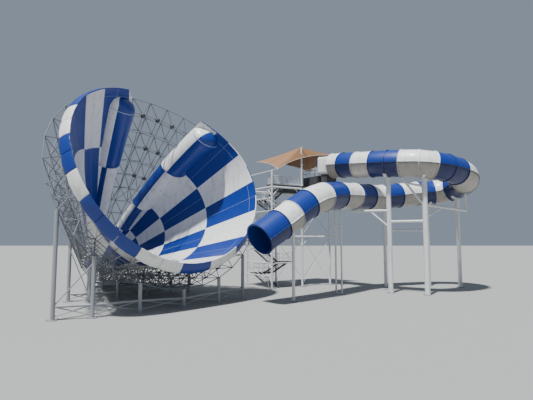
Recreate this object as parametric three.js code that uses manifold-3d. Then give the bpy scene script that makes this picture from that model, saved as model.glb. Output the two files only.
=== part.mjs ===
import * as THREE from 'three';
import { mergeVertices } from 'three/addons/utils/BufferGeometryUtils.js';
import Module from 'manifold-3d';

// Funnel slide with its launch tower, as a scale model at 1:2.
// Lengths below are metres of the real ride. METRE turns them into millimetres of the model.
// +X runs along the ride to the right, +Y away from the viewer, +Z up, z = 0 is the level floor.
// The origin is the bottom centre of the base plate under the tower's near corner post.
const METRE = 500;
const GAP = 0.3; // mm between two pieces that rest on each other

// funnel: a cone lying on its side, open along the top
const APEX = [-24.6, 8.3, 1.45];
const CONE_AZIMUTH = 37.2; // degrees the axis turns from the viewer towards +X
const CONE_RISE = 22.5; // degrees the axis rises towards the mouth
const HALF_ANGLE = 17.8;
const SLANT = 30.0; // apex to mouth along the wall
const THROAT = 0.2; // fraction of the slant where the narrow end is cut
const STAVES = 8;
const WALL = 0.06;
// radius of each edge roll from each fraction of the slant on
const RIGHT_STEPS = [[0.2, 0.5], [0.33, 0.8], [0.49, 1.2], [0.73, 1.5]];
const LEFT_STEPS = [[0.2, 0.46], [0.3, 0.68], [0.44, 0.95], [0.7, 1.33]];
const ROLL_GROWTH = 1.06; // how far each length of a roll widens towards the mouth
const ROLL_END = 0.93; // where the rounded end of the last length begins

// cage: two layers of straight bars round the whole cone
const CAGE_SECTORS = 8;
const CAGE_RINGS = [0.2, 0.346, 0.492, 0.638, 0.784, 0.93];
const CAGE_IN = [0.5, 1.05]; // inner layer above the inner face, at the first and the last ring
const CAGE_OUT = [1.45, 2.15]; // outer layer
const BAR = 0.085; // half the width of a cage bar

// tube flume
const TUBE_R = 1.5;
const TUBE_WALL = 0.09;
const FLANGE = 0.11;
const FLANGE_W = 0.14;
const SIDES = 16;

// tower, turned in plan about its near corner post
const TURN = 32;
const PLATFORM = { long: 9.0, deep: 6.0, z: 12.6, thick: 0.22 };
const FLIGHTS = 8;
const LANE = 1.35; // stair width
const LANDING = 1.2; // landing depth
const RAIL_H = 1.1;

const wasm = await Module();
wasm.setup();
const group = new THREE.Group();
group.name = 'funnel_slide';

const rad = THREE.MathUtils.degToRad;
const vec = (x, y, z) => new THREE.Vector3(x, y, z);
const real = (p) => vec(p[0], p[1], p[2]).multiplyScalar(METRE);

// closed geometry whose vertices are moved by place(x, y, z), turned inside out where that mirrors it
function moved(geometry, place) {
  const g = geometry.clone();
  g.deleteAttribute('normal');
  g.deleteAttribute('uv');
  const at = g.attributes.position;
  for (let i = 0; i < at.count; i += 1) {
    const p = place(at.getX(i), at.getY(i), at.getZ(i));
    at.setXYZ(i, p.x, p.y, p.z);
  }
  const m = mergeVertices(g, 1e-3);
  const pos = m.attributes.position;
  const index = Array.from(m.index.array);
  const triangles = [];
  for (let i = 0; i < index.length; i += 3) {
    const [a, b, c] = [index[i], index[i + 1], index[i + 2]];
    if (a !== b && b !== c && c !== a) triangles.push(a, b, c);
  }
  let volume = 0;
  const [A, B, C] = [vec(), vec(), vec()];
  for (let i = 0; i < triangles.length; i += 3) {
    A.fromBufferAttribute(pos, triangles[i]);
    B.fromBufferAttribute(pos, triangles[i + 1]);
    C.fromBufferAttribute(pos, triangles[i + 2]);
    volume += A.dot(B.cross(C));
  }
  if (volume < 0) triangles.reverse();
  m.setIndex(triangles);
  return m;
}

function solid(geometry) {
  const g = geometry.clone();
  g.deleteAttribute('normal');
  g.deleteAttribute('uv');
  const m = mergeVertices(g, 1e-3);
  return new wasm.Manifold(new wasm.Mesh({
    numProp: 3,
    vertProperties: new Float32Array(m.attributes.position.array),
    triVerts: new Uint32Array(m.index.array),
  }));
}

const fused = (solids) => solids.reduce((a, b) => a.add(b));
const largest = (body) => body.decompose().sort((a, b) => b.volume() - a.volume())[0].simplify(0.1);

function geometryOf(body) {
  const mesh = body.getMesh();
  const g = new THREE.BufferGeometry();
  g.setAttribute('position', new THREE.BufferAttribute(new Float32Array(mesh.vertProperties), 3));
  g.setIndex(new THREE.BufferAttribute(new Uint32Array(mesh.triVerts), 1));
  return g;
}

function add(name, shape, color, roughness, metalness = 0) {
  const geometry = shape.isBufferGeometry ? shape.clone() : geometryOf(shape);
  geometry.computeVertexNormals();
  const mesh = new THREE.Mesh(geometry, new THREE.MeshStandardMaterial({ color, roughness, metalness }));
  mesh.name = name;
  group.add(mesh);
}

const BLUE = '#1749b4';
const WHITE = '#e9eae6';
const STEEL = '#c9ccce';
const GREY = '#8b8f93';
const DARK = '#4b4e52';
const TAN = '#b98d5e';

// straight bar between two points, with a few flat sides
function bar(a, b, radius, sides = 4) {
  const along = b.clone().sub(a).normalize();
  const g = new THREE.CylinderGeometry(radius, radius, a.distanceTo(b), sides);
  g.applyQuaternion(new THREE.Quaternion().setFromUnitVectors(vec(0, 1, 0), along));
  g.translate((a.x + b.x) / 2, (a.y + b.y) / 2, (a.z + b.z) / 2);
  return solid(g);
}

function block(cx, cy, cz, lx, ly, lz, turn = 0) {
  const g = new THREE.BoxGeometry(lx, ly, lz);
  g.rotateZ(rad(turn));
  g.translate(cx, cy, cz);
  return solid(g);
}

// funnel axis and its two cross directions
const axis = vec(
  Math.sin(rad(CONE_AZIMUTH)) * Math.cos(rad(CONE_RISE)),
  -Math.cos(rad(CONE_AZIMUTH)) * Math.cos(rad(CONE_RISE)),
  Math.sin(rad(CONE_RISE)),
);
const across = vec(Math.cos(rad(CONE_AZIMUTH)), Math.sin(rad(CONE_AZIMUTH)), 0);
const upward = across.clone().cross(axis).normalize();
if (upward.z < 0) upward.negate();
const apex = real(APEX);

// the mouth is cut a little askew: its slant changes with the angle from the top, and less further in
const skew = (th) => -0.016 * Math.cos(th) - 0.063 * Math.sin(th) - 0.029 * Math.cos(2 * th);
const slantAt = (th, s) => SLANT * METRE * s * (1 + skew(th) * s * s);
const radiusAt = (th, s) => slantAt(th, s) * Math.sin(rad(HALF_ANGLE));

// point of the cone: angle from the top, fraction of the slant, height above the inner face,
// and millimetres past the cut
function onCone(th, s, height = 0, past = 0) {
  const out = across.clone().multiplyScalar(Math.sin(th)).addScaledVector(upward, Math.cos(th));
  const wall = axis.clone().multiplyScalar(Math.cos(rad(HALF_ANGLE)))
    .addScaledVector(out, Math.sin(rad(HALF_ANGLE)));
  const normal = out.multiplyScalar(Math.cos(rad(HALF_ANGLE)))
    .addScaledVector(axis, -Math.sin(rad(HALF_ANGLE)));
  return apex.clone().addScaledVector(wall, slantAt(th, s) + past).addScaledVector(normal, height);
}

// edges of the opening along the top, as angles that change along the slant
const slitRight = (s) => rad(31.5 - 30 * (1 - s));
const slitLeft = (s) => rad(-18 - 12 * (1 - s));
const wrap = (u, s) => slitRight(s) + (2 * Math.PI + slitLeft(s) - slitRight(s)) * u;

function stave(i, grow = 0) {
  return moved(new THREE.BoxGeometry(1, 1, 1, 6, 2, 1), (x, y, z) => {
    const s = THROAT + (1 - THROAT) * (y + 0.5);
    const [from, to] = [wrap(i / STAVES, s), wrap((i + 1) / STAVES, s)];
    const trim = (x * (GAP - 2 * grow)) / radiusAt(from, s);
    const height = z < 0 ? -grow : WALL * METRE + grow;
    return onCone(from + (to - from) * (x + 0.5) - trim, s, height, y > 0.4 ? grow : 0);
  });
}
for (let i = 0; i < STAVES; i += 1) add(`funnel_stave_${i + 1}`, stave(i), i % 2 ? WHITE : BLUE, 0.35);

// lip round the mouth edge, flared outward and back, in three lengths whose steps match those of the staves
const LIPS = 3;
// section of the lip: mm past the cut, and mm above the inner face
const LIP_SECTION = [[0.8, -6], [30, -6], [45, 0], [40, 35], [5, 90], [-110, 215], [-220, 320], [-350, 420],
  [-450, 375], [-520, 225], [-490, 60], [0.8, 60], [0.8, 34]];
for (let i = 0; i < LIPS; i += 1) {
  const steps = (6 * STAVES) / LIPS;
  const shape = new THREE.Shape(LIP_SECTION.map(([past, height]) => new THREE.Vector2(past, height)));
  const section = new THREE.ExtrudeGeometry(shape, { depth: 1, steps, bevelEnabled: false });
  const place = (x, y, z) => {
    const trim = ((z - 0.5) * GAP) / radiusAt(0, 1);
    return onCone(wrap((i + z) / LIPS, 1) - trim, 1, y, x);
  };
  add(`mouth_lip_${i + 1}`, moved(section, place), i === 1 ? BLUE : WHITE, 0.35);
}

const halfDisc = (radius, segments) => {
  const shape = new THREE.Shape();
  shape.moveTo(-radius, 0);
  shape.lineTo(radius, 0);
  for (let i = 1; i < segments; i += 1) {
    const a = (Math.PI * i) / segments;
    shape.lineTo(radius * Math.cos(a), radius * Math.sin(a));
  }
  shape.closePath();
  return shape;
};
// half-round rolls on the inner face along both edges of the opening, stepped down towards the narrow end
function edgeRoll(name, edge, side, rollSteps) {
  const stations = [];
  const full = rollSteps[rollSteps.length - 1][1] * ROLL_GROWTH;
  rollSteps.forEach(([s, r], i) => {
    const end = i + 1 < rollSteps.length ? rollSteps[i + 1][0] : ROLL_END;
    stations.push([s + (i ? 0.004 : 0.002), r], [end, r * ROLL_GROWTH]);
  });
  [[0.95, 0.93], [0.964, 0.68], [0.972, 0.36]].forEach(([s, k]) => stations.push([s, full * k]));
  const steps = stations.length - 1;
  const section = new THREE.ExtrudeGeometry(halfDisc(1, 8), { depth: 1, steps, bevelEnabled: false });
  const place = (x, y, z) => {
    const [s, r] = stations[Math.round(z * steps)];
    const widest = r * METRE;
    const base = (s > ROLL_END ? full * METRE : widest) / radiusAt(edge(s), s);
    const th = edge(s) + side * (base + (x * widest) / radiusAt(edge(s), s));
    return onCone(th, s, 6 - y * widest);
  };
  const body = solid(moved(section, place)).subtract(solid(stave(side > 0 ? 0 : STAVES - 1, GAP)));
  add(name, largest(body), WHITE, 0.35);
}
edgeRoll('edge_roll_right', slitRight, 1, RIGHT_STEPS);
edgeRoll('edge_roll_left', slitLeft, -1, LEFT_STEPS);

// collar round the narrow end, and the run-out trough that leaves it just above the floor
const COLLAR = { long: 0.9, flange: 0.28 };
const { long: REACH, flange: BRIM } = COLLAR;
const collarLine = [[0, REACH], [BRIM, REACH], [BRIM, REACH - 0.12], [WALL, REACH - 0.12], [WALL, 0.0016],
  [0, 0.0016], [0, REACH]].map(([h, run]) => new THREE.Vector2(1000 + h * METRE, -run * METRE));
const roundCollar = (x, y, z) => onCone(Math.atan2(x, z), THROAT, Math.hypot(x, z) - 1000, y);
add('exit_collar', moved(new THREE.LatheGeometry(collarLine, 24), roundCollar), BLUE, 0.35);
const TROUGH = { radius: 1.3, wall: 0.1, long: 5.0, fall: 4, stand: 0.35 };
const away = vec(-axis.x, -axis.y, 0).normalize().multiplyScalar(Math.cos(rad(TROUGH.fall)));
away.z = -Math.sin(rad(TROUGH.fall));
const troughSide = away.clone().cross(vec(0, 0, 1)).normalize();
const bottom = onCone(Math.PI, THROAT, 0, -REACH * METRE);
const troughAt = (x, y, z) => vec(bottom.x, bottom.y, bottom.z + (TROUGH.radius - 0.02) * METRE)
  .addScaledVector(troughSide, x).addScaledVector(away, z - 100).add(vec(0, 0, y));
const trough = new THREE.Shape();
[[1, 0], [-1, 1]].forEach(([turn, inner]) => {
  for (let i = 0; i <= 12; i += 1) {
    const a = Math.PI * (1 + (turn > 0 ? i : 12 - i) / 12);
    const r = (TROUGH.radius - inner * TROUGH.wall) * METRE;
    trough[i || inner ? 'lineTo' : 'moveTo'](r * Math.cos(a), r * Math.sin(a));
  }
});
trough.closePath();
const troughRun = solid(moved(new THREE.ExtrudeGeometry(trough,
  { depth: TROUGH.long * METRE + 100, bevelEnabled: false }), troughAt));
const stands = [1.2, TROUGH.long - 0.6].map((run) => {
  const at = troughAt(0, 0, run * METRE + 100);
  const top = at.z - (TROUGH.radius - TROUGH.wall / 2) * METRE;
  return block(at.x, at.y, top / 2, TROUGH.stand * METRE, TROUGH.stand * METRE, top, CONE_AZIMUTH);
});
const back = -REACH * METRE - GAP;
const brim = 1000 + BRIM * METRE + GAP;
const blankLine = [[0, back], [1000, back], [brim, back], [brim, 0], [1000, 0], [0, 0]]
  .map(([x, y]) => new THREE.Vector2(x, y));
const blankPlace = (x, y, z) => (Math.hypot(x, z) < 1
  ? onCone(0, THROAT, 0, y).add(onCone(Math.PI, THROAT, 0, y)).multiplyScalar(0.5) : roundCollar(x, y, z));
const collarBlank = solid(moved(new THREE.LatheGeometry(blankLine, 24), blankPlace));
add('exit_trough', largest(fused([troughRun, ...stands]).subtract(collarBlank)), BLUE, 0.35);

// centre line of the tube, from the tower down to the funnel mouth
const ROUTE = [
  [6.75, 2.55, 15.1], [8.0, 1.35, 15.05], [9.3, -0.35, 14.85], [10.85, -2.0, 14.62], [12.5, -3.45, 14.45],
  [14.1, -4.6, 14.3], [15.85, -5.55, 14.12], [17.9, -5.6, 13.85], [20.3, -4.35, 13.55], [22.35, -2.35, 13.2],
  [23.3, 0.3, 12.65], [22.6, 2.55, 12.2], [21.0, 3.35, 11.9], [19.0, 3.25, 11.75], [16.7, 2.6, 11.5],
  [14.9, 1.95, 11.25], [13.1, 1.1, 11.05], [10.6, -0.85, 10.95], [8.25, -3.2, 10.8], [6.3, -5.6, 10.55],
  [4.35, -7.9, 9.95], [2.6, -9.5, 8.85], [0.95, -11.0, 7.55], [-1.3, -12.9, 5.9],
];
// stations of the joints along that line, from the inlet box on
const JOINTS = [0.8, 1.64, 2.55, 3.5, 4.35, 5.1, 6.0, 6.78, 7.45, 8.2, 9.6, 10.95, 12.05, 13.2, 14.4, 15.7,
  16.6, 17.45, 18.5, 19.5, 20.5, 21.45, 22.17, 23];
const PAINT = 'wbwbbwwbbwbwbwbwbwbwbwb';
const route = new THREE.CatmullRomCurve3(ROUTE.map(real), false, 'centripetal');

// frame of the centre line at a station, which may lie between two points
function station(q) {
  const t = THREE.MathUtils.clamp(q / (ROUTE.length - 1), 0, 1);
  const at = route.getPoint(t);
  const along = route.getTangent(t);
  const side = along.clone().cross(vec(0, 0, 1)).normalize();
  const up = side.clone().cross(along);
  return { at, along, side, up };
}

const runs = [];
for (let i = 0; i < PAINT.length; i += 1) {
  const last = runs[runs.length - 1];
  if (last && last.paint === PAINT[i]) last.to = JOINTS[i + 1];
  else runs.push({ paint: PAINT[i], from: JOINTS[i], to: JOINTS[i + 1] });
}
const outerR = TUBE_R * METRE;
function tubeLength(run, profileOf) {
  const length = station(run.from).at.distanceTo(station(run.to).at);
  const h = ((FLANGE_W / 2) * METRE) / length;
  const rows = Math.max(2, Math.round(2 * (run.to - run.from)));
  const stops = [0, h, ...Array.from({ length: rows }, (_, i) => (i + 1) / rows)];
  const profile = profileOf(stops).map(([x, y]) => new THREE.Vector2(x, y));
  return moved(new THREE.LatheGeometry(profile, SIDES), (x, y, z) => {
    const s = station(run.from + (run.to - run.from) * y);
    const clear = (0.5 - y) * GAP;
    return s.at.addScaledVector(s.side, x).addScaledVector(s.up, z).addScaledVector(s.along, clear);
  });
}
const shellProfile = (stops) => {
  const [first, next, ...rest] = stops;
  const flangeR = outerR + FLANGE * METRE;
  const inner = [...stops].reverse().filter((y) => y !== next).map((y) => [outerR - TUBE_WALL * METRE, y]);
  return [[flangeR, first], [flangeR, next], [outerR, next], ...rest.map((y) => [outerR, y]), ...inner,
    [flangeR, first]];
};
// the same length filled and grown a little, to cut the columns free of it
const fullProfile = ([first, next, ...rest]) => {
  const clear = ((next - first) * 2 * GAP) / ((FLANGE_W / 2) * METRE);
  const [shellR, flangeR] = [outerR + 2 * GAP, outerR + FLANGE * METRE + 2 * GAP];
  return [[0, first - clear], [flangeR, first - clear], [flangeR, next + clear], [shellR, next + clear],
    ...rest.map((y) => [shellR, y]), [0, 1]];
};
runs.forEach((run, n) => {
  add(`tube_${String(n + 1).padStart(2, '0')}`, tubeLength(run, shellProfile),
    run.paint === 'b' ? BLUE : WHITE, 0.3);
});

// inlet box in front of the first tube length
const inlet = station(JOINTS[0]);
const boxLong = 1.5 * METRE;
const boxWide = 2.5 * METRE;
const boxHigh = 2.3 * METRE;
const inletPlace = (x, y, z) => inlet.at.clone()
  .addScaledVector(inlet.along, y - boxLong / 2 - GAP)
  .addScaledVector(inlet.side, x)
  .addScaledVector(inlet.up, z);
const hollow = (lx, ly, lz) => solid(moved(new THREE.BoxGeometry(lx, ly, lz), inletPlace));
const skin = 0.1 * METRE;
const plinthTop = inlet.at.z - boxHigh / 2 + skin / 2;
const plinthFoot = PLATFORM.z * METRE + GAP;
const plinthAt = inletPlace(0, 0, 0);
const inletTurn = THREE.MathUtils.radToDeg(Math.atan2(inlet.along.y, inlet.along.x));
const plinth = block(plinthAt.x, plinthAt.y, (plinthTop + plinthFoot) / 2, boxLong * 0.6, boxWide * 0.8,
  plinthTop - plinthFoot, inletTurn);
add('inlet_box', hollow(boxWide, boxLong, boxHigh)
  .subtract(hollow(boxWide - 2 * skin, boxLong + 10, boxHigh - 2 * skin)).add(plinth), WHITE, 0.35);

// cage: each sector is two windowed plates tied by struts; the outer plate has a diagonal across every bay.
// A place in a plate is [column, mm past it, ring, mm past it].
const module = Math.PI / CAGE_SECTORS;
const lastRing = CAGE_RINGS.length - 1;
const half = BAR * METRE;
// point of a layer, which flares away from the wall, with mm outward from its middle and mm past the ring
const onLayer = ([near, far], th, s, outward = 0, past = 0) => {
  const reach = (slantAt(th, s) + past) / (SLANT * METRE);
  const share = (reach - CAGE_RINGS[0]) / (CAGE_RINGS[lastRing] - CAGE_RINGS[0]);
  return onCone(th, s, (near + (far - near) * share) * METRE + outward, past);
};
const cagePoint = (first, [k, dx, ring, dy], layer, outward) => {
  const column = (c) => onLayer(layer, (first + c) * module, CAGE_RINGS[ring], outward, dy);
  const [here, next] = [column(k), column(k + (dx < 0 ? -1 : 1))];
  return here.lerp(next, Math.abs(dx) / here.distanceTo(next));
};
// cells of a plate as seen from outside: ring bars, column bars and, if wanted, diagonals
function plateCells(knee) {
  const w = half;
  const between = (n) => [[n, w], ...(knee ? [[n, w + knee], [n + 1, -w - knee]] : []), [n + 1, -w]];
  const xs = [[0, GAP / 2], ...between(0), ...between(1), [2, -GAP / 2]];
  const columns = [[[0, GAP / 2], [0, w]], [[1, -w], [1, w]], [[2, -w], [2, -GAP / 2]]];
  const cells = [];
  const addCells = (xLines, yLines) => {
    for (let i = 1; i < xLines.length; i += 1) {
      for (let j = 1; j < yLines.length; j += 1) {
        const [a, b, p, q] = [xLines[i - 1], xLines[i], yLines[j - 1], yLines[j]];
        cells.push([[...a, ...p], [...b, ...p], [...b, ...q], [...a, ...q]]);
      }
    }
  };
  for (let ring = 0; ring <= lastRing; ring += 1) addCells(xs, [[ring, -w], [ring, w]]);
  for (let ring = 0; ring < lastRing; ring += 1) {
    columns.forEach((x) => addCells(x, between(ring)));
    for (let k = 0; knee && k < 2; k += 1) {
      const [l, l2, r2, r] = between(k);
      const [b, b2, t2, t] = between(ring);
      cells.push(((k + ring) % 2 ? [[r, b], [r, b2], [l2, t], [l, t], [l, t2], [r2, b]]
        : [[l, b], [l2, b], [r, t2], [r, t], [r2, t], [l, b2]]).map(([x, y]) => [...x, ...y]));
    }
  }
  return cells;
}
const PLATES = [
  { layer: CAGE_IN, thick: half, cells: plateCells(0) },
  { layer: CAGE_OUT, thick: 2 * half, cells: plateCells(1.7 * half) },
];
const STRUTS = [[0, 0], [0, 5], [1, 0], [1, 2], [1, 5], [2, 0], [2, 5]]; // column and ring
const isStrut = ([a, , c]) => a[3] === -half && c[3] === half && Math.abs(a[1]) <= half
  && Math.abs(c[1]) <= half && STRUTS.some(([k, ring]) => a[0] === k && c[0] === k && a[2] === ring);
const within = ([a, b, c, d], x, y) => a.clone().lerp(b, x).lerp(d.clone().lerp(c, x), y);
const inset = (quad) => [[0.2, 0.2], [0.8, 0.2], [0.8, 0.8], [0.2, 0.8]].map(([x, y]) => within(quad, x, y));
const onCage = (first, cell, layer, outward) => cell.map((p) => cagePoint(first, p, layer, outward));
const WALL_FACE = [0, 0]; // the wall's inner face as a layer

// highest point of the wall and its collar under a node, or 0 where the funnel is open
const shell = group.children.filter((mesh) => /funnel_stave|exit_collar/.test(mesh.name));
function wallUnder(first, cell) {
  let height = 0;
  for (let n = 0; n < 25; n += 1) {
    const spot = [0.2 + 0.15 * (n % 5), 0.2 + 0.15 * Math.floor(n / 5)];
    const [from, to] = [100, 0].map((h) => within(onCage(first, cell, WALL_FACE, h), ...spot));
    const depth = from.distanceTo(to);
    const ray = new THREE.Raycaster(from, to.clone().sub(from).normalize(), 0, depth);
    ray.intersectObjects(shell).forEach((hit) => {
      height = Math.max(height, 100 * (1 - hit.distance / depth));
    });
  }
  return height;
}

function cageSector(first) {
  const faces = [];
  const walls = (low, high) => low.forEach((p, i) => {
    const next = (i + 1) % low.length;
    faces.push([p, low[next], high[next], high[i]]);
  });
  // one face of a cell; where a strut leaves it, a frame round the foot of the strut
  const face = (cell, layer, outward, open) => {
    const outline = onCage(first, cell, layer, outward);
    const foot = open ? inset(outline) : [];
    const frame = (a, b) => [outline[a], outline[b], foot[b], foot[a]];
    const drawn = open ? [0, 1, 2, 3].map((i) => frame(i, (i + 1) % 4)) : [outline];
    faces.push(...drawn.map((f) => (outward > 0 ? f : [...f].reverse())));
  };
  PLATES.forEach(({ layer, thick, cells }, outer) => {
    const key = (p, q) => `${p} ${q}`;
    const edges = new Set(cells.flatMap((cell) => cell.map((p, i) => key(p, cell[(i + 1) % cell.length]))));
    cells.forEach((cell) => {
      const strut = isStrut(cell);
      const wall = strut && !outer && cell[0][0] === 1 ? wallUnder(first, cell) : 0;
      face(cell, layer, -thick / 2, outer ? strut : wall > 0);
      face(cell, layer, thick / 2, strut && !outer);
      cell.forEach((p, i) => {
        const q = cell[(i + 1) % cell.length];
        const foot = onCage(first, [p, q], layer, -thick / 2);
        if (!edges.has(key(q, p))) faces.push([...foot, ...onCage(first, [q, p], layer, thick / 2)]);
      });
      const footAt = (...height) => inset(onCage(first, cell, ...height));
      if (strut && !outer) walls(footAt(layer, thick / 2), footAt(CAGE_OUT, -PLATES[1].thick / 2));
      if (!wall) return;
      const end = footAt(WALL_FACE, wall + 2 * GAP);
      walls(end, footAt(layer, -thick / 2));
      faces.push(end.reverse());
    });
  });
  const corners = faces.flatMap((f) => f.slice(2).flatMap((p, i) => [f[0], f[i + 1], p]));
  return moved(new THREE.BufferGeometry().setFromPoints(corners), vec);
}
for (let i = 1; i <= CAGE_SECTORS; i += 1) add(`cage_sector_${i}`, cageSector(2 * i - 1), GREY, 0.45, 0.3);
const cageNode = (k, ring) => cagePoint(0, [(k + 16) % 16, 0, ring, 0], CAGE_OUT, -half - GAP);

// trestles under the cage: upright legs down to the floor, tied by a cross beam
const FOOT = { wide: 0.7, thick: 0.06 };
const foot = (x, y) => block(x, y, (FOOT.thick * METRE) / 2, FOOT.wide * METRE, FOOT.wide * METRE,
  FOOT.thick * METRE);
function upright(x, y, top, radius, sides = 10) {
  return bar(vec(x, y, 1), vec(x, y, top), radius, sides).add(foot(x, y));
}
const TRESTLES = [[5, 0.16], [3, 0.16], [1, 0.14]];
const cageSkin = solid(moved(new THREE.CylinderGeometry(1, 1, 1, 16), (x, y, z) => {
  const s = y < 0 ? THROAT * 0.6 : 1.06;
  if (Math.hypot(x, z) < 0.5) return onCone(0, s).add(onCone(Math.PI, s)).multiplyScalar(0.5);
  return onLayer(CAGE_OUT, Math.atan2(x, z), s, half + 2 * GAP);
}));
TRESTLES.forEach(([ring, radius], n) => {
  const heads = [-5, -6, -7, 8, 7, 6].slice(n === 2 ? 1 : 0).map((k) => cageNode(k, ring));
  const parts = heads.map((p) => upright(p.x, p.y, p.z, radius * METRE, 6));
  const tie = heads.map((p) => vec(p.x, p.y, Math.min(p.z * 0.5, heads[n === 2 ? 2 : 3].z * 0.62)));
  for (let i = 0; i + 1 < tie.length; i += 1) parts.push(bar(tie[i], tie[i + 1], 0.1 * METRE, 4));
  add(`trestle_${n + 1}`, largest(fused(parts).subtract(cageSkin)), STEEL, 0.45, 0.2);
});

// columns under the tube, each ending in a cross piece that cradles a flange
const tubeOuter = fused(runs.map((run) => solid(tubeLength(run, fullProfile))));
const onTube = (joint, drop = 0.7) => {
  const { at } = station(joint);
  return vec(at.x, at.y, at.z - drop * METRE);
};
const level = (p, z) => vec(p.x, p.y, z * METRE);
const colA = onTube(4.35);
const colB = onTube(6.3);
const yoke = (joint, width = 1.35) => {
  const { at, side, up } = station(joint);
  const low = at.clone().addScaledVector(up, -(TUBE_R + 0.02) * METRE);
  const [from, to] = [-width, width].map((k) => low.clone().addScaledVector(side, k * METRE));
  return bar(from, to, 0.16 * METRE, 4);
};
const mainFrame = fused([
  upright(colA.x, colA.y, colA.z, 0.26 * METRE, 12),
  upright(colB.x, colB.y, colB.z, 0.28 * METRE, 12),
  yoke(4.35), yoke(6.3),
  bar(level(colA, 7.85), level(colB, 7.85), 0.14 * METRE, 4),
  bar(onTube(5.1, 1.2), level(colB, 9.4), 0.12 * METRE, 6),
  bar(level(onTube(5.1), 12.2), level(colB, 11.6), 0.12 * METRE, 6),
  bar(level(colB, 9.6), onTube(9.6, 3.6), 0.14 * METRE, 4),
  bar(level(colB, 8.2), level(colB.clone().lerp(onTube(9.6), 0.45), 9.6), 0.1 * METRE, 6),
  bar(level(colA, 9.1), level(onTube(17.6), 9.1), 0.14 * METRE, 4),
  bar(level(colA, 7.2), level(colA.clone().lerp(onTube(17.6), 0.5), 9.1), 0.1 * METRE, 6),
]).subtract(tubeOuter);
add('main_columns', largest(mainFrame), STEEL, 0.4, 0.1);

const farTie = [onTube(12.5), onTube(15.5)];
add('far_columns', largest(fused([
  ...farTie.map((p) => upright(p.x, p.y, p.z, 0.2 * METRE, 10)),
  yoke(12.5), yoke(15.5),
  bar(level(farTie[0], 7.0), level(farTie[1], 7.0), 0.12 * METRE, 4),
]).subtract(tubeOuter)), STEEL, 0.4, 0.1);

const bend = onTube(10.5);
add('bend_column', largest(fused([upright(bend.x, bend.y, bend.z, 0.24 * METRE, 10), yoke(10.5)])
  .subtract(tubeOuter)), STEEL, 0.4, 0.1);

const twin = station(18.5);
const twinAt = [-0.35, 0.35].map((k) => twin.at.clone().addScaledVector(twin.side, k * METRE));
add('twin_columns', largest(fused([
  ...twinAt.map((p) => bar(vec(p.x, p.y, 1), vec(p.x, p.y, p.z - 0.9 * METRE), 0.1 * METRE, 8)),
  foot(twin.at.x, twin.at.y), block(twin.at.x, twin.at.y, 15, 1.3 * METRE, 1.3 * METRE, 30),
  yoke(18.5), bar(level(twinAt[0], 7.5), level(twinAt[1], 7.5), 0.06 * METRE, 4),
]).subtract(tubeOuter)), STEEL, 0.4, 0.1);

const near = onTube(21.4);
add('near_column', largest(fused([upright(near.x, near.y, near.z, 0.15 * METRE, 8), yoke(21.4, 1.1)])
  .subtract(tubeOuter)), STEEL, 0.4, 0.1);

// tower: u runs along the front edge and v to the back, both from the near corner post
const plan = (u, v, z = 0) => vec(u * Math.cos(rad(TURN)) - v * Math.sin(rad(TURN)),
  u * Math.sin(rad(TURN)) + v * Math.cos(rad(TURN)), z).multiplyScalar(METRE);
const slab = (u0, u1, v0, v1, z0, z1) => {
  const c = plan((u0 + u1) / 2, (v0 + v1) / 2, (z0 + z1) / 2);
  return block(c.x, c.y, c.z, (u1 - u0) * METRE, (v1 - v0) * METRE, (z1 - z0) * METRE, TURN);
};
const { long: LONG, deep: DEEP, z: TOP, thick: THICK } = PLATFORM;
const APRON = { u0: 5.9, u1: 8.7, v: -2.9 }; // part of the deck that carries the inlet box in front
const POSTS = [[0, 0], [4.5, 0], [LONG, 0], [0, DEEP], [4.5, DEEP], [LONG, DEEP]];
const postTop = ([u, v]) => (u === 0 && v === 0 ? 14.3 : TOP - THICK - 0.001);
const post = (p, radius) => {
  const c = plan(...p);
  const { wide, thick } = FOOT;
  return bar(vec(c.x, c.y, 1), vec(c.x, c.y, postTop(p) * METRE), radius, 6)
    .add(block(c.x, c.y, (thick * METRE) / 2, wide * METRE, wide * METRE, thick * METRE, TURN));
};
const beam = (u0, v0, u1, v1, z, r = 0.13) => bar(plan(u0, v0, z), plan(u1, v1, z), r * METRE, 4);
const frame = [...POSTS.map((p) => post(p, 0.125 * METRE))];
const eaves = TOP - THICK - 0.131;
frame.push(beam(0, 0, LONG, 0, eaves), beam(0, DEEP, LONG, DEEP, eaves), beam(0, 0, 0, DEEP, eaves),
  beam(LONG, 0, LONG, DEEP, eaves), beam(0, 0, LONG, 0, 6.2), beam(0, DEEP, LONG, DEEP, 6.2));
[[0, 0, 1, 0], [0, 0, 0, 1], [4.5, 0, -1, 0], [LONG, 0, -1, 0]].forEach(([u, v, du, dv]) => {
  frame.push(bar(plan(u, v, TOP - 1.5), plan(u + du * 1.1, v + dv * 1.1, eaves), 0.06 * METRE, 4));
});
[[APRON.u0 + 0.2, 4.5], [APRON.u1 - 0.2, LONG]].forEach(([u, postU]) => {
  frame.push(beam(u, 0, u, APRON.v + 0.2, eaves), bar(plan(postU, 0, 10), plan(u, APRON.v + 0.4, eaves),
    0.08 * METRE, 4));
});

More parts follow.
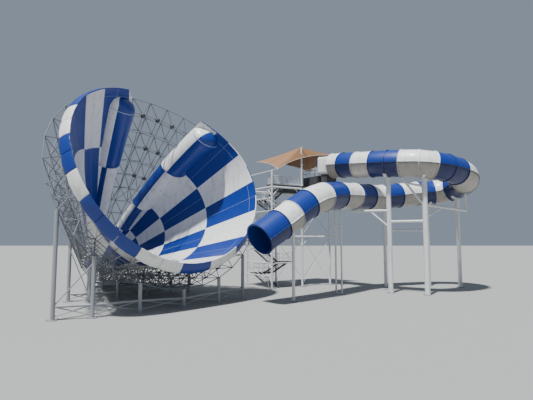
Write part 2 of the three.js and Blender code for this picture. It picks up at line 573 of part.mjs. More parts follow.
const laneA = [0.25, 0.25 + LANE];
const laneB = [1.85, 1.85 + LANE];
const wellU = 3.35;
const rise = TOP / FLIGHTS;
const stairs = [];
for (let i = 0; i < FLIGHTS; i += 1) {
  const up = i % 2 === 0;
  const [z0, z1] = [rise * i, rise * (i + 1)];
  const [u0, u1] = up ? laneA : laneB;
  const [v0, v1] = [LANDING, DEEP - LANDING];
  const [vFrom, vTo] = up ? [v0, v1] : [v1, v0];
  const corner = (v, z) => [new THREE.Vector2(v, z), new THREE.Vector2(v, z - 0.24)];
  const outline = [...corner(vFrom, Math.max(z0, 0.24)), ...corner(vTo, z1).reverse()];
  const flight = new THREE.ExtrudeGeometry(new THREE.Shape(outline), { depth: 1, bevelEnabled: false });
  stairs.push(solid(moved(flight, (x, y, z) => plan(u0 + (u1 - u0) * z, x, y))));
  if (i + 1 < FLIGHTS) {
    const v = up ? [v1 - 0.02, DEEP - 0.2] : [0.2, v0 + 0.02];
    stairs.push(slab(laneA[0], laneB[1], v[0], v[1], z1 - 0.2, z1));
  }
}
const stairBody = fused(stairs);
const stairGrown = fused([0, 1].flatMap((k) => [stairBody.translate(0, 0, k ? GAP : -GAP),
  stairBody.translate(k ? GAP : -GAP, 0, 0), stairBody.translate(0, k ? GAP : -GAP, 0)]));

const deck = fused([
  slab(wellU, LONG, 0, DEEP, TOP - THICK, TOP),
  slab(0, wellU + 0.01, 0, LANDING - 0.001, TOP - THICK, TOP),
  slab(APRON.u0, APRON.u1, APRON.v, 0.01, TOP - THICK, TOP),
]);
const postHole = bar(vec(0, 0, 0), vec(0, 0, 20 * METRE), 0.125 * METRE + 2 * GAP, 6);
add('tower_platform', largest(deck.subtract(postHole).subtract(stairGrown)), GREY, 0.6, 0.1);
add('tower_frame', largest(fused(frame).subtract(stairGrown)), STEEL, 0.45, 0.1);
add('stairs', largest(stairBody), DARK, 0.6, 0.2);

// guard rails round the platform, open where the inlet box stands
const rail = [];
const RAIL_RUNS = [
  [[0.2, 0.2], [4.2, 0.2]], [[0.2, LANDING - 0.1], [0.2, 0.2]],
  [[LONG - 0.1, 0.3], [LONG - 0.1, DEEP - 0.1]], [[LONG - 0.1, DEEP - 0.1], [wellU + 0.1, DEEP - 0.1]],
];
RAIL_RUNS.forEach(([p, q]) => {
  const body = [RAIL_H, 0.6].map((h) => bar(plan(...p, TOP + h), plan(...q, TOP + h), 0.05 * METRE, 4));
  const count = Math.max(1, Math.round(Math.hypot(q[0] - p[0], q[1] - p[1]) / 1.4));
  for (let i = 0; i <= count; i += 1) {
    const c = plan(p[0] + ((q[0] - p[0]) * i) / count, p[1] + ((q[1] - p[1]) * i) / count);
    const [low, high] = [c.clone().setZ(TOP * METRE + GAP), c.clone().setZ((TOP + RAIL_H) * METRE)];
    body.push(bar(low, high, 0.045 * METRE, 4));
  }
  rail.push(fused(body));
});
add('guard_rail_front', largest(rail[0].add(rail[1])), STEEL, 0.45, 0.2);
add('guard_rail_back', largest(rail[2].add(rail[3])), STEEL, 0.45, 0.2);

// canopy: a mast at the front edge holds the peak, the low near corner is tied to the near post
const PEAK = [3.75, 2.6, 17.35];
const CORNERS = [[0.7, 0.2, 14.45], [9.1, 4.6, 16.9], [5.6, 9.0, 15.4], [-1.9, 2.6, 15.75]];
const SAG = [0.72, 0.25, 0.25, 0.3]; // how far each edge is drawn in towards the peak
const mastAt = (z) => plan(4.5, 0).setZ(z);
const MAST_TOP = 17.28 * METRE;
add('canopy_mast', bar(mastAt(TOP * METRE + GAP), mastAt(MAST_TOP), 0.11 * METRE, 10), STEEL, 0.4, 0.1);
const rim = [];
CORNERS.forEach((c, i) => {
  const [p, q, peak] = [real(c), real(CORNERS[(i + 1) % 4]), real(PEAK)];
  const middle = p.clone().lerp(q, 0.5).lerp(peak, SAG[i]);
  const edge = new THREE.QuadraticBezierCurve3(p, middle, q);
  rim.push(...edge.getPoints(6).slice(0, -1));
});
const peak = real(PEAK);
const canopy = new THREE.CylinderGeometry(1, 1, 1, rim.length, 1);
const canopyPlace = (x, y, z) => {
  const lift = vec(0, 0, y * 0.05 * METRE);
  if (Math.hypot(x, z) < 0.5) return peak.clone().add(lift);
  const i = Math.round((Math.atan2(x, z) / (2 * Math.PI)) * rim.length + rim.length) % rim.length;
  return rim[i].clone().add(lift);
};
const mastGrown = bar(mastAt(TOP * METRE), mastAt(MAST_TOP + GAP), 0.11 * METRE + GAP, 10);
add('canopy', largest(solid(moved(canopy, canopyPlace)).subtract(mastGrown)), TAN, 0.8);

export default group;
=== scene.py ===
import math

import bmesh
import bpy
from mathutils import Matrix, Vector


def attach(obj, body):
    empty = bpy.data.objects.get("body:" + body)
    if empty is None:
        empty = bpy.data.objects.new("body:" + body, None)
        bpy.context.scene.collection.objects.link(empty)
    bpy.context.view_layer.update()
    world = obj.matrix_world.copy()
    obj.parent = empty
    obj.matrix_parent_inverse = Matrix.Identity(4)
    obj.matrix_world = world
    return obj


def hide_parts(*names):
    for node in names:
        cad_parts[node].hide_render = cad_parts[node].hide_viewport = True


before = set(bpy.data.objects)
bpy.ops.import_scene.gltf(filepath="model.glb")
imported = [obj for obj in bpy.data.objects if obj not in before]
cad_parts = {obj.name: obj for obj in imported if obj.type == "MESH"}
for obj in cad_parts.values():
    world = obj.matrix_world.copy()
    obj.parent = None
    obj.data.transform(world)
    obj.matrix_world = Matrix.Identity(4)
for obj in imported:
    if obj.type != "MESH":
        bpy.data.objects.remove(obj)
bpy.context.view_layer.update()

# Camera. It stands on the level ground in front of the tower's near corner post and looks a little upwards.
def placed(name, data):
    """A new object at the origin, in the scene."""
    made = bpy.data.objects.new(name, data)
    bpy.context.scene.collection.objects.link(made)
    return made


camera = placed("camera", bpy.data.cameras.new("camera"))
camera.location = (-0.325, -26.0, 3.0)
camera.rotation_euler = (math.radians(95.08), 0, 0)
camera.data.sensor_width = 36
camera.data.lens = 29.1
camera.data.clip_end = 500
bpy.context.scene.camera = camera

# Funnel wall. A cone on its side, made of moulded glass-reinforced shells in blue and white checks.
# The shells are bolted edge to edge through flanges on the outer face. Pale paste seals the joints inside.
metre = 0.5  # model metres for one metre of the real ride
narrow_end = 0.2
wall = 0.06 * metre
sector = 22.5  # degrees that one check takes up
check_rings = [0.2, 0.33, 0.5, 0.745, 1.0]
apex = Vector((-24.6, 8.3, 1.45)) * metre
cone_long = 30 * metre  # from the apex to the mouth, along the wall
turn, lift, half_angle = (math.radians(a) for a in (37.2, 22.5, 17.8))
cone_axis = Vector((math.sin(turn) * math.cos(lift), -math.cos(turn) * math.cos(lift), math.sin(lift)))
cone_side = Vector((math.cos(turn), math.sin(turn), 0))
cone_up = cone_side.cross(cone_axis).normalized()
cone_up *= 1 if cone_up.z > 0 else -1


def slant(angle, share):
    """Way from the apex to a share of the wall. The mouth is cut a little askew and isn't quite flat."""
    askew = -0.016 * math.cos(angle) - 0.063 * math.sin(angle) - 0.029 * math.cos(2 * angle)
    return cone_long * share * (1 + askew * share * share)


def round_cone(degrees):
    """Directions out from the axis and square to the wall, at an angle from the top."""
    angle = math.radians(degrees)
    out = cone_side * math.sin(angle) + cone_up * math.cos(angle)
    return out, out * math.cos(half_angle) - cone_axis * math.sin(half_angle)


def on_wall(degrees, share, height=0.0, past=0.0):
    """Point of the cone: degrees round from the top, share of the slant, height above the inner face."""
    out, normal = round_cone(degrees)
    along = cone_axis * math.cos(half_angle) + out * math.sin(half_angle)
    return apex + along * (slant(math.radians(degrees), share) + past) + normal * height


def right_edge(share):
    return 31.5 - 30 * (1 - share)


def left_edge(share):
    corner = max(0, share - 0.955) / 0.045  # the corner at the mouth is cut back
    return 342 - 12 * (1 - share) - 6 * corner


def new_piece(name, mesh, nodes=(), sharp=35):
    for polygon in mesh.polygons:
        polygon.use_smooth = True
    mesh.set_sharp_from_angle(angle=math.radians(sharp))
    made = placed(name, mesh)
    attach(made, "root")
    if nodes:
        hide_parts(*nodes)
    return made


def closed_mesh(name, points, faces, paints=None, materials=(), weld=1e-5):
    """One mesh of closed shells, with the faces turned outwards."""
    mesh = bpy.data.meshes.new(name)
    mesh.from_pydata([tuple(p) for p in points], [], faces)
    if paints:
        mesh.polygons.foreach_set("material_index", paints)
    for material in materials:
        mesh.materials.append(material)
    shell = bmesh.new()
    shell.from_mesh(mesh)
    bmesh.ops.remove_doubles(shell, verts=shell.verts, dist=weld)
    bmesh.ops.dissolve_degenerate(shell, edges=shell.edges, dist=weld)
    bmesh.ops.recalc_face_normals(shell, faces=shell.faces)
    shell.to_mesh(mesh)
    shell.free()
    mesh.update()
    return mesh


def shell_piece(name, shape, materials, nodes=(), sharp=35, weld=1e-5):
    """A piece from the points, faces and, where there are two materials, paints of its closed shells."""
    return new_piece(name, closed_mesh(name, *shape, materials=materials, weld=weld), nodes, sharp)


def wired(tree, *pairs):
    for a, b in pairs:
        tree.links.new(a, b)


# what sun and rain do to gel coat and paint: slow fading, streaks that run down, and fine pores
weathering = bpy.data.node_groups.new("weathering", "ShaderNodeTree")
for name, kind, value in (("Colour", "NodeSocketColor", (1, 1, 1, 1)), ("Fade", "NodeSocketFloat", 0.1),
                          ("Streaks", "NodeSocketFloat", 0.2), ("Roughness", "NodeSocketFloat", 0.3)):
    weathering.interface.new_socket(name, in_out="INPUT", socket_type=kind).default_value = value
for name, kind in (("Colour", "NodeSocketColor"), ("Roughness", "NodeSocketFloat"),
                   ("Height", "NodeSocketFloat")):
    weathering.interface.new_socket(name, in_out="OUTPUT", socket_type=kind)
w = weathering.nodes
w_in, w_out = w.new("NodeGroupInput"), w.new("NodeGroupOutput")
place = w.new("ShaderNodeTexCoord")
drawn_out = w.new("ShaderNodeMapping")
drawn_out.inputs["Scale"].default_value = (3.2, 3.2, 0.35)
cloud, streak, pores = (w.new("ShaderNodeTexNoise") for _ in range(3))
for noise, scale, detail in ((cloud, 0.5, 3), (streak, 1.6, 5), (pores, 30, 3)):
    noise.inputs["Scale"].default_value = scale
    noise.inputs["Detail"].default_value = detail
pick = w.new("ShaderNodeMapRange")
pick.inputs["From Min"].default_value = 0.52
pick.inputs["From Max"].default_value = 0.78
dirty, faded = w.new("ShaderNodeMix"), w.new("ShaderNodeMix")
for mix, tint in ((faded, (0.78, 0.80, 0.82, 1)), (dirty, (0.10, 0.095, 0.08, 1))):
    mix.data_type = "RGBA"
    mix.inputs["B"].default_value = tint
fade_share, streak_share, rough_change, rough_sum = (w.new("ShaderNodeMath") for _ in range(4))
for product in (fade_share, streak_share, rough_change):
    product.operation = "MULTIPLY"
rough_sum.operation = "ADD"
rough_change.inputs[1].default_value = 0.22
wired(
    weathering,
    (place.outputs["Object"], cloud.inputs["Vector"]), (place.outputs["Object"], pores.inputs["Vector"]),
    (place.outputs["Object"], drawn_out.inputs["Vector"]), (drawn_out.outputs[0], streak.inputs["Vector"]),
    (cloud.outputs["Fac"], fade_share.inputs[0]), (w_in.outputs["Fade"], fade_share.inputs[1]),
    (streak.outputs["Fac"], pick.inputs["Value"]), (pick.outputs[0], streak_share.inputs[0]),
    (w_in.outputs["Streaks"], streak_share.inputs[1]), (w_in.outputs["Colour"], faded.inputs["A"]),
    (fade_share.outputs[0], faded.inputs["Factor"]), (faded.outputs["Result"], dirty.inputs["A"]),
    (streak_share.outputs[0], dirty.inputs["Factor"]), (dirty.outputs["Result"], w_out.inputs["Colour"]),
    (cloud.outputs["Fac"], rough_change.inputs[0]), (rough_change.outputs[0], rough_sum.inputs[0]),
    (w_in.outputs["Roughness"], rough_sum.inputs[1]), (rough_sum.outputs[0], w_out.inputs["Roughness"]),
    (pores.outputs["Fac"], w_out.inputs["Height"]))


def weathered(name, colour, fade, streaks, roughness, metallic=0.0, coat=0.0, bump=0.0006):
    """A painted or moulded finish with the weathering of this ride."""
    material = bpy.data.materials.new(name)
    material.use_nodes = True
    nodes = material.node_tree.nodes
    shader = nodes["Principled BSDF"]
    worn = nodes.new("ShaderNodeGroup")
    worn.node_tree = weathering
    for label, value in (("Colour", (*colour, 1)), ("Fade", fade), ("Streaks", streaks),
                         ("Roughness", roughness)):
        worn.inputs[label].default_value = value
    dents = nodes.new("ShaderNodeBump")
    dents.inputs["Distance"].default_value = bump
    dents.inputs["Strength"].default_value = 0.5
    for label, value in (("Metallic", metallic), ("Coat Weight", coat), ("Coat Roughness", 0.12)):
        shader.inputs[label].default_value = value
    wired(material.node_tree, (worn.outputs["Colour"], shader.inputs["Base Color"]),
          (worn.outputs["Roughness"], shader.inputs["Roughness"]),
          (worn.outputs["Height"], dents.inputs["Height"]),
          (dents.outputs["Normal"], shader.inputs["Normal"]))
    return material


blue_gel = weathered("blue_gel_coat", (0.0008, 0.03, 0.25), 0.008, 0.08, 0.3, coat=0.06)
white_gel = weathered("white_gel_coat", (0.87, 0.87, 0.85), 0.03, 0.34, 0.28, coat=0.12)
paste = weathered("joint_paste", (0.38, 0.48, 0.62), 0.1, 0.3, 0.5)


def between(knots, x):
    """Straight line through the knots, level before the first and after the last."""
    for (x0, y0), (x1, y1) in zip(knots, knots[1:]):
        if x <= x1:
            return y0 + (y1 - y0) * max(0, x - x0) / (x1 - x0)
    return knots[-1][1]


# the outermost ring of shells is cut shorter on the left, and its joints lean towards the opening there
front_joint = ((200, 0.745), (268, 0.92), (295, 0.82), (315, 0.78), (342, 0.77))
joint_lean = ((270, 0), (292.5, 9), (315, 2.5), (342, 0))


def joint_angle(degrees, share):
    """Where a joint that starts at the angle lies at a share of the slant."""
    lean = between(joint_lean, degrees) * max(0, share - 0.745) / 0.255
    return min(max(degrees + lean, right_edge(share)), left_edge(share))


def ring_share(degrees, row):
    """Share of the slant at a row of the rings, counted from the narrow end, for an angle."""
    rings = check_rings[:3] + [between(front_joint, degrees), 1.0]
    band = min(int(row), 3)
    return rings[band] + (rings[band + 1] - rings[band]) * (row - band)


per_sector, per_band = 8, 4
width = 16 * per_sector + 1
points, faces, paints = [], [], []
for row in range(4 * per_band + 1):
    for step in range(width):
        k = min(step // per_sector, 15)
        part = (step - k * per_sector) / per_sector
        share = ring_share((k + part) * sector, row / per_band)
        low = joint_angle(k * sector, share)
        high = joint_angle((k + 1) * sector, share)
        points.append(on_wall(low + (high - low) * part, share))
for row in range(4 * per_band):
    for step in range(width - 1):
        a = row * width + step
        faces.append((a, a + 1, a + 1 + width, a + width))
        band = len(check_rings) - 1 - row // per_band
        paints.append(0 if (step // per_sector + band) % 2 else 1)
sheet_mesh = bpy.data.meshes.new("funnel_wall")
sheet_mesh.from_pydata([tuple(p) for p in points], [], faces)
sheet_mesh.polygons.foreach_set("material_index", paints)
sheet_mesh.materials.append(blue_gel)
sheet_mesh.materials.append(white_gel)
shell = bmesh.new()
shell.from_mesh(sheet_mesh)
bmesh.ops.remove_doubles(shell, verts=shell.verts, dist=1e-4)
bmesh.ops.dissolve_degenerate(shell, edges=shell.edges, dist=1e-4)
for face in shell.faces:
    face.normal_update()
    middle = face.calc_center_median()
    inward = apex + cone_axis * (middle - apex).dot(cone_axis) - middle
    if face.normal.dot(inward) < 0:
        face.normal_flip()
# the wall's thickness: an outer skin behind the inner one, and a strip along every open edge
inner = list(shell.faces)
rims = [e for e in shell.edges if e.is_boundary]
outer_of = {}
for v in list(shell.verts):
    out = v.co - apex
    radial = out - cone_axis * out.dot(cone_axis)
    normal = radial.normalized() * math.cos(half_angle) - cone_axis * math.sin(half_angle)
    outer_of[v] = shell.verts.new(v.co + normal * wall)
for face in inner:
    back = shell.faces.new([outer_of[v] for v in reversed(face.verts)])
    back.material_index = face.material_index
for edge in rims:
    face = edge.link_faces[0]
    a, b = edge.verts
    ring = shell.faces.new([b, a, outer_of[a], outer_of[b]])
    ring.material_index = face.material_index
bmesh.ops.recalc_face_normals(shell, faces=shell.faces)
shell.to_mesh(sheet_mesh)
shell.free()
new_piece("funnel_wall", sheet_mesh, [f"funnel_stave_{i}" for i in range(1, 9)])

# Joints of the shells. Inside lies a line of sealing paste. Outside stand a pair of flanges, with a bolt
# every half metre.
def strips(lines, width, low, high):
    """Closed strips along lines of (point, normal), from low to high along the normal."""
    points, faces = [], []
    for line in lines:
        start = len(points)
        for i, (p, normal) in enumerate(line):
            ahead = (line[min(i + 1, len(line) - 1)][0] - line[max(i - 1, 0)][0]).normalized()
            side = ahead.cross(normal).normalized() * width / 2
            points += [p - side + normal * low, p + side + normal * low,
                       p + side + normal * high, p - side + normal * high]
        for i in range(len(line) - 1):
            a = start + 4 * i
            faces += [(a + j, a + (j + 1) % 4, a + 4 + (j + 1) % 4, a + 4 + j) for j in range(4)]
        a = start + 4 * (len(line) - 1)
        faces += [(start, start + 1, start + 2, start + 3), (a, a + 1, a + 2, a + 3)]
    return points, faces


joint_lines = []
for k in range(2, 31):
    start = narrow_end if k % 2 == 0 else 0.5
    run = [(joint_angle(k * sector / 2, s), s) for s in (start + (1 - start) * i / 24 for i in range(25))]
    run = [(d, s) for d, s in run if right_edge(s) + 0.3 < d < left_edge(s) - 0.3]
    if len(run) > 1:
        joint_lines.append([(on_wall(d, s), round_cone(d)[1]) for d, s in run])
for row in (1, 2, 3, 3.88):
    steps = 96
    low, high = right_edge(ring_share(20, row)), left_edge(ring_share(340, row))
    turns = [low + (high - low) * i / steps for i in range(steps + 1)]
    joint_lines.append([(on_wall(d, ring_share(d, row)), round_cone(d)[1]) for d in turns])
shell_piece("wall_joints", strips(joint_lines, 0.009, -0.0025, 0.002), [paste])
flange_strips = strips(joint_lines, 0.018, wall - 0.002, wall + 0.05)
shell_piece("wall_flanges", flange_strips, [white_gel])


def frozen(made):
    """The evaluated shape becomes the object's own mesh, and the modifier goes."""
    mesh = bpy.data.meshes.new_from_object(made.evaluated_get(bpy.context.evaluated_depsgraph_get()))
    bpy.data.objects.remove(made)
    return mesh


def node_tree(name, *labels):
    """A modifier's tree with the labelled inputs, and each input's identifier."""
    tree = bpy.data.node_groups.new(name, "GeometryNodeTree")
    tree.is_modifier = True
    kinds = {"Geometry": "NodeSocketGeometry", "Material": "NodeSocketMaterial", "Sides": "NodeSocketInt"}
    sockets = {}
    for label in ("Geometry", *labels, "Material"):
        kind = kinds.get(label, "NodeSocketFloat")
        sockets[label] = tree.interface.new_socket(label, in_out="INPUT", socket_type=kind)
    tree.interface.new_socket("Geometry", in_out="OUTPUT", socket_type="NodeSocketGeometry")
    return tree, {label: socket.identifier for label, socket in sockets.items()}


def scatter_tree(name, shape_kind, shape_inputs, *labels):
    """Tree that stands one shape on every point; shape_inputs pairs inputs of the shape with labels."""
    tree, sockets = node_tree(name, *labels)
    start, end, shape, points_of, on_points, paint, real = (tree.nodes.new(kind) for kind in (
        "NodeGroupInput", "NodeGroupOutput", shape_kind, "GeometryNodeMeshToPoints",
        "GeometryNodeInstanceOnPoints", "GeometryNodeSetMaterial", "GeometryNodeRealizeInstances"))
    wired(
        tree, (start.outputs["Geometry"], points_of.inputs["Mesh"]),
        (points_of.outputs[0], on_points.inputs["Points"]),
        (shape.outputs["Mesh"], on_points.inputs["Instance"]),
        (on_points.outputs[0], real.inputs[0]), (real.outputs[0], paint.inputs["Geometry"]),
        (start.outputs["Material"], paint.inputs["Material"]), (paint.outputs[0], end.inputs["Geometry"]),
        *((start.outputs[label], shape.inputs[key]) for key, label in shape_inputs))
    return tree, sockets, start, shape, on_points


def named_value(tree, name, kind):
    """Node that reads an attribute of the points."""
    node = tree.nodes.new("GeometryNodeInputNamedAttribute")
    node.data_type = kind
    node.inputs["Name"].default_value = name
    return node.outputs["Attribute"]


def grown(name, mesh, tree, sockets, **values):
    """What a node tree makes of a mesh."""
    made = placed(name, mesh)
    modifier = made.modifiers.new(name, "NODES")
    modifier.node_group = tree
    for label, value in values.items():
        modifier[sockets[label]] = value
    return frozen(made)


# bolts: one hexagon head on every point, standing along the point's own axis
bolt_tree, bolt_sockets, t_in, head, on_points = scatter_tree(
    "bolts", "GeometryNodeMeshCylinder", (("Radius", "Radius"), ("Depth", "Length")), "Radius", "Length")
head.inputs["Vertices"].default_value = 6
align = bolt_tree.nodes.new("FunctionNodeAlignRotationToVector")
wired(bolt_tree, (named_value(bolt_tree, "axis", "FLOAT_VECTOR"), align.inputs["Vector"]),
      (align.outputs[0], on_points.inputs["Rotation"]))


def bolted(name, places, radius, length, material):
    """Bolts at the places, each a point and the direction of its shank."""
    mesh = bpy.data.meshes.new(name)
    mesh.from_pydata([tuple(p) for p, _ in places], [], [])
    direction = mesh.attributes.new("axis", "FLOAT_VECTOR", "POINT")
    direction.data.foreach_set("vector", [c for _, d in places for c in d])
    return grown(name, mesh, bolt_tree, bolt_sockets, Radius=radius, Length=length, Material=material)


zinc = weathered("zinc_bolts", (0.42, 0.43, 0.44), 0.1, 0.4, 0.35, metallic=0.8)
places = []
bolt_pitch = 0.25
for line in joint_lines:
    left_over = 0.0
    for (p, n), (q, m) in zip(line, line[1:]):
        span = (q - p).length
        at = left_over
        while at < span:
            spot = p.lerp(q, at / span)
            normal = n.lerp(m, at / span).normalized()
            places.append((spot + normal * (wall + 0.03), (q - p).normalized().cross(normal)))
            at += bolt_pitch
        left_over = at - span
new_piece("wall_bolts", bolted("wall_bolts", places, 0.010, 0.042, zinc))

# Mouth lip. Mouldings that cap the edge of the mouth and flare outward and back, with a gap between lengths.
# Their colours follow no checks: long and short lengths in white and blue.
lip_joints = [31.5, 56, 78, 101, 123, 146, 168, 187, 199, 211.5, 223, 233.5, 243.5, 255.5, 264, 272.5, 281.5,
              291.5, 306, 322, 336]
lip_paint = "bwbwbwbwwbbbwbbwwbbb"
lip_middle = Vector((-0.23, 0.19))


def arc(start, pull, end, steps):
    """Points of a bent line from start to end, drawn towards pull."""
    start, pull, end = Vector(start), Vector(pull), Vector(end)
    share = [i / steps for i in range(steps)]
    return [start * (1 - f) ** 2 + pull * 2 * f * (1 - f) + end * f * f for f in share]


# section of a length: past the edge of the mouth, and above the inner face
lip_section = (arc((0.001, -0.005), (0.045, -0.010), (0.044, 0.018), 3)
               + arc((0.044, 0.018), (-0.100, 0.275), (-0.330, 0.418), 9)
               + arc((-0.330, 0.418), (-0.430, 0.425), (-0.480, 0.325), 5)
               + arc((-0.480, 0.325), (-0.525, 0.225), (-0.490, 0.062), 4)
               + [Vector((-0.490, 0.062)), Vector((0.001, 0.062))])


def shells_along(rings_of, paint_of=lambda number, ring, step: 0):
    """Closed shells from lists of rings; paint_of gives a face's material."""
    points, faces, paints = [], [], []
    for number, rings in enumerate(rings_of):
        start, n = len(points), len(rings[0])
        points += [p for ring in rings for p in ring]
        for i in range(len(rings) - 1):
            for j in range(n):
                a, b = start + i * n + j, start + i * n + (j + 1) % n
                faces.append((a, b, b + n, a + n))
                paints.append(paint_of(number, i, j))
        last = start + (len(rings) - 1) * n
        faces += [tuple(range(start, start + n)), tuple(range(last, last + n))]
        paints += [paint_of(number, 0, 0), paint_of(number, len(rings) - 2, 0)]
    return points, faces, paints


lip_rings = []
lip_gap = 0.12  # degrees from a joint to the end of a length
for a, b in zip(lip_joints, lip_joints[1:]):
    rings = []
    for stop in (0, 0.01, 0.03, 0.07, 0.14, 0.24, 0.37, 0.5, 0.63, 0.76, 0.86, 0.93, 0.97, 0.99, 1):
        degrees = a + lip_gap + (b - a - 2 * lip_gap) * stop
        size = 0.84 + 0.16 * math.sin(math.pi * stop) ** 0.4
        section = [lip_middle + (p - lip_middle) * size if p.x > -0.47 and p.y > 0.01 else p
                   for p in lip_section]
        rings.append([on_wall(degrees, 1, p.y, p.x) for p in section])
    lip_rings.append(rings)
lip_shells = shells_along(lip_rings, lambda number, ring, step: "bw".index(lip_paint[number]))
shell_piece("mouth_lip", lip_shells, [blue_gel, white_gel],
            ["mouth_lip_1", "mouth_lip_2", "mouth_lip_3"])

# Edge rolls. Bulging half-round mouldings inside both edges of the open top, which turn the rafts back.
# Each length overlaps the next one down the slope, and two strips of different colour run along it.
right_steps = [(0.2, 0.5), (0.33, 0.8), (0.49, 1.2), (0.73, 1.5)]
left_steps = [(0.2, 0.46), (0.3, 0.68), (0.44, 0.95), (0.7, 1.33)]
roll_joints = []
for name, edge, side, first, roll_steps, split, dome in (
        ("edge_roll_right", right_edge, 1, 1, right_steps, 10, 0.95),
        ("edge_roll_left", left_edge, -1, 0, left_steps, 3, 0.935)):
    roll_rings = []
    for number, (share, radius) in enumerate(roll_steps):
        end = roll_steps[number + 1][0] if number < 3 else dome
        stations = [(share + 0.001, 0.97), (share + 0.006, 1.0), (share + 0.016, 1.0), (share + 0.018, 0.985)]
        stations += [(share + 0.018 + (end - share - 0.022) * i / 5, 0.985 + 0.065 * i / 5)
                     for i in range(1, 6)]
        if number == 3:
            stations = stations[:-1] + [(dome + 0.036 * math.sin(math.radians(t)),
                                         1.05 * math.cos(math.radians(t)) + 0.001) for t in range(0, 91, 15)]
        rings = []
        for s, k in stations:
            r = radius * k * metre
            seat = radius * (k if s < dome else 1.05) * metre
            cone_radius = slant(math.radians(edge(s)), s) * math.sin(half_angle)
            ring = []
            for i in range(17):
                angle = math.pi * i / 16
                across = math.degrees((seat + r * math.cos(angle)) / cone_radius)
                ring.append(on_wall(edge(s) + side * across, s, 0.002 - r * math.sin(angle)))
            rings.append(ring)
        roll_rings.append(rings)
    # towards the opening the strip is the first one, towards the wall the second
    roll = shells_along(roll_rings, lambda number, ring, step: (first + number + (step < split)) % 2)
    shell_piece(name, roll, [white_gel, blue_gel], [name], weld=2e-4)
    # the joint where the rounded end is bolted on
    seam = roll_rings[-1][8]
    core = (seam[0] + seam[-1]) / 2
    roll_joints.append([(p, (p - core).normalized()) for p in seam])
shell_piece("roll_joints", strips(roll_joints, 0.03, -0.006, 0.008), [paste])

# Collar and run-out trough. The collar is a flanged ring bolted to the narrow end; the trough carries the
# rafts away from it just above the floor, on two concrete stands.
collar_long, brim = 0.9 * metre, 0.28 * metre
profile = [(0, 0.001), (wall, 0.001), (wall, 0.06), (brim * 0.7, 0.06), (brim * 0.7, 0.07), (wall, 0.07),
           (wall, collar_long - 0.06), (brim, collar_long - 0.06), (brim, collar_long), (0, collar_long)]


def wrapped(rings):
    """Points and faces of rings that are joined one after the other, and the last to the first."""
    n, rows = len(rings[0]), len(rings)
    return [p for ring in rings for p in ring], [
        (i * n + j, i * n + (j + 1) % n, (i + 1) % rows * n + (j + 1) % n, (i + 1) % rows * n + j)
        for i in range(rows) for j in range(n)]


rings = [[on_wall(d * 5, narrow_end, h, -back) for h, back in profile] for d in range(72)]
shell_piece("exit_collar", wrapped(rings), [blue_gel], ["exit_collar"])
places = [(on_wall(d * 10, narrow_end, brim * 0.75, -collar_long), -cone_axis) for d in range(36)]
new_piece("collar_bolts", bolted("collar_bolts", places, 0.014, 0.03, zinc))

trough_radius, trough_wall, trough_long = 1.3 * metre, 0.1 * metre, 5.0 * metre
fall = math.radians(4)
away = Vector((-cone_axis.x, -cone_axis.y, 0)).normalized() * math.cos(fall)
away.z = -math.sin(fall)
cross_way = away.cross(Vector((0, 0, 1))).normalized()
under = on_wall(180, narrow_end, 0, -collar_long)


def in_trough(x, y, run):
    return under + Vector((0, 0, trough_radius - 0.02 * metre + y)) + cross_way * x + away * run


trough_inside, bead = trough_radius - trough_wall * 0.6, 0.024
runs = [0.001 + (trough_long - 0.001) * i / 12 for i in range(13)]
half_turn = [math.pi * (1 + k / 32) for k in range(33)]
around = [(trough_radius, a) for a in half_turn] + [(trough_inside, a) for a in half_turn[::-1]]
rings = [[in_trough(r * math.cos(a), r * math.sin(a), run) for r, a in around] for run in runs]
points, faces, _ = shells_along([rings])
for x in (-1, 1):  # rolled top edges
    middle = x * (trough_radius - trough_wall / 2)
    pipe = [[in_trough(middle + bead * math.cos(a * math.pi / 6), bead * math.sin(a * math.pi / 6), run)
             for a in range(12)] for run in runs]
    more, sides, _ = shells_along([pipe])
    faces += [tuple(v + len(points) for v in face) for face in sides]
    points += more
shell_piece("trough_run", (points, faces), [blue_gel], ["exit_trough"])
concrete = weathered("concrete", (0.42, 0.41, 0.39), 0.25, 0.35, 0.8, bump=0.004)


def boxes(specs):
    """Closed blocks, each from its centre, its sizes and how far it is turned in plan, in degrees."""
    points, faces = [], []
    for centre, (lx, ly, lz), degrees in specs:
        start, spin = len(points), Matrix.Rotation(math.radians(degrees), 3, "Z")
        for z in (-1, 1):
            for x, y in ((-1, -1), (1, -1), (1, 1), (-1, 1)):
                points.append(Vector(centre) + spin @ Vector((x * lx / 2, y * ly / 2, z * lz / 2)))
        faces += [tuple(start + i for i in f) for f in (
            (3, 2, 1, 0), (4, 5, 6, 7), (0, 1, 5, 4), (1, 2, 6, 5), (2, 3, 7, 6), (3, 0, 4, 7))]
    return points, faces


stands = []
for run in (1.2 * metre, trough_long - 0.6 * metre):
    at = in_trough(0, 0, run)
    top = at.z - trough_radius + 0.01
    stands.append(((at.x, at.y, top / 2), (0.35 * metre, 0.35 * metre, top), 37.2))
shell_piece("trough_stands", boxes(stands), [concrete])

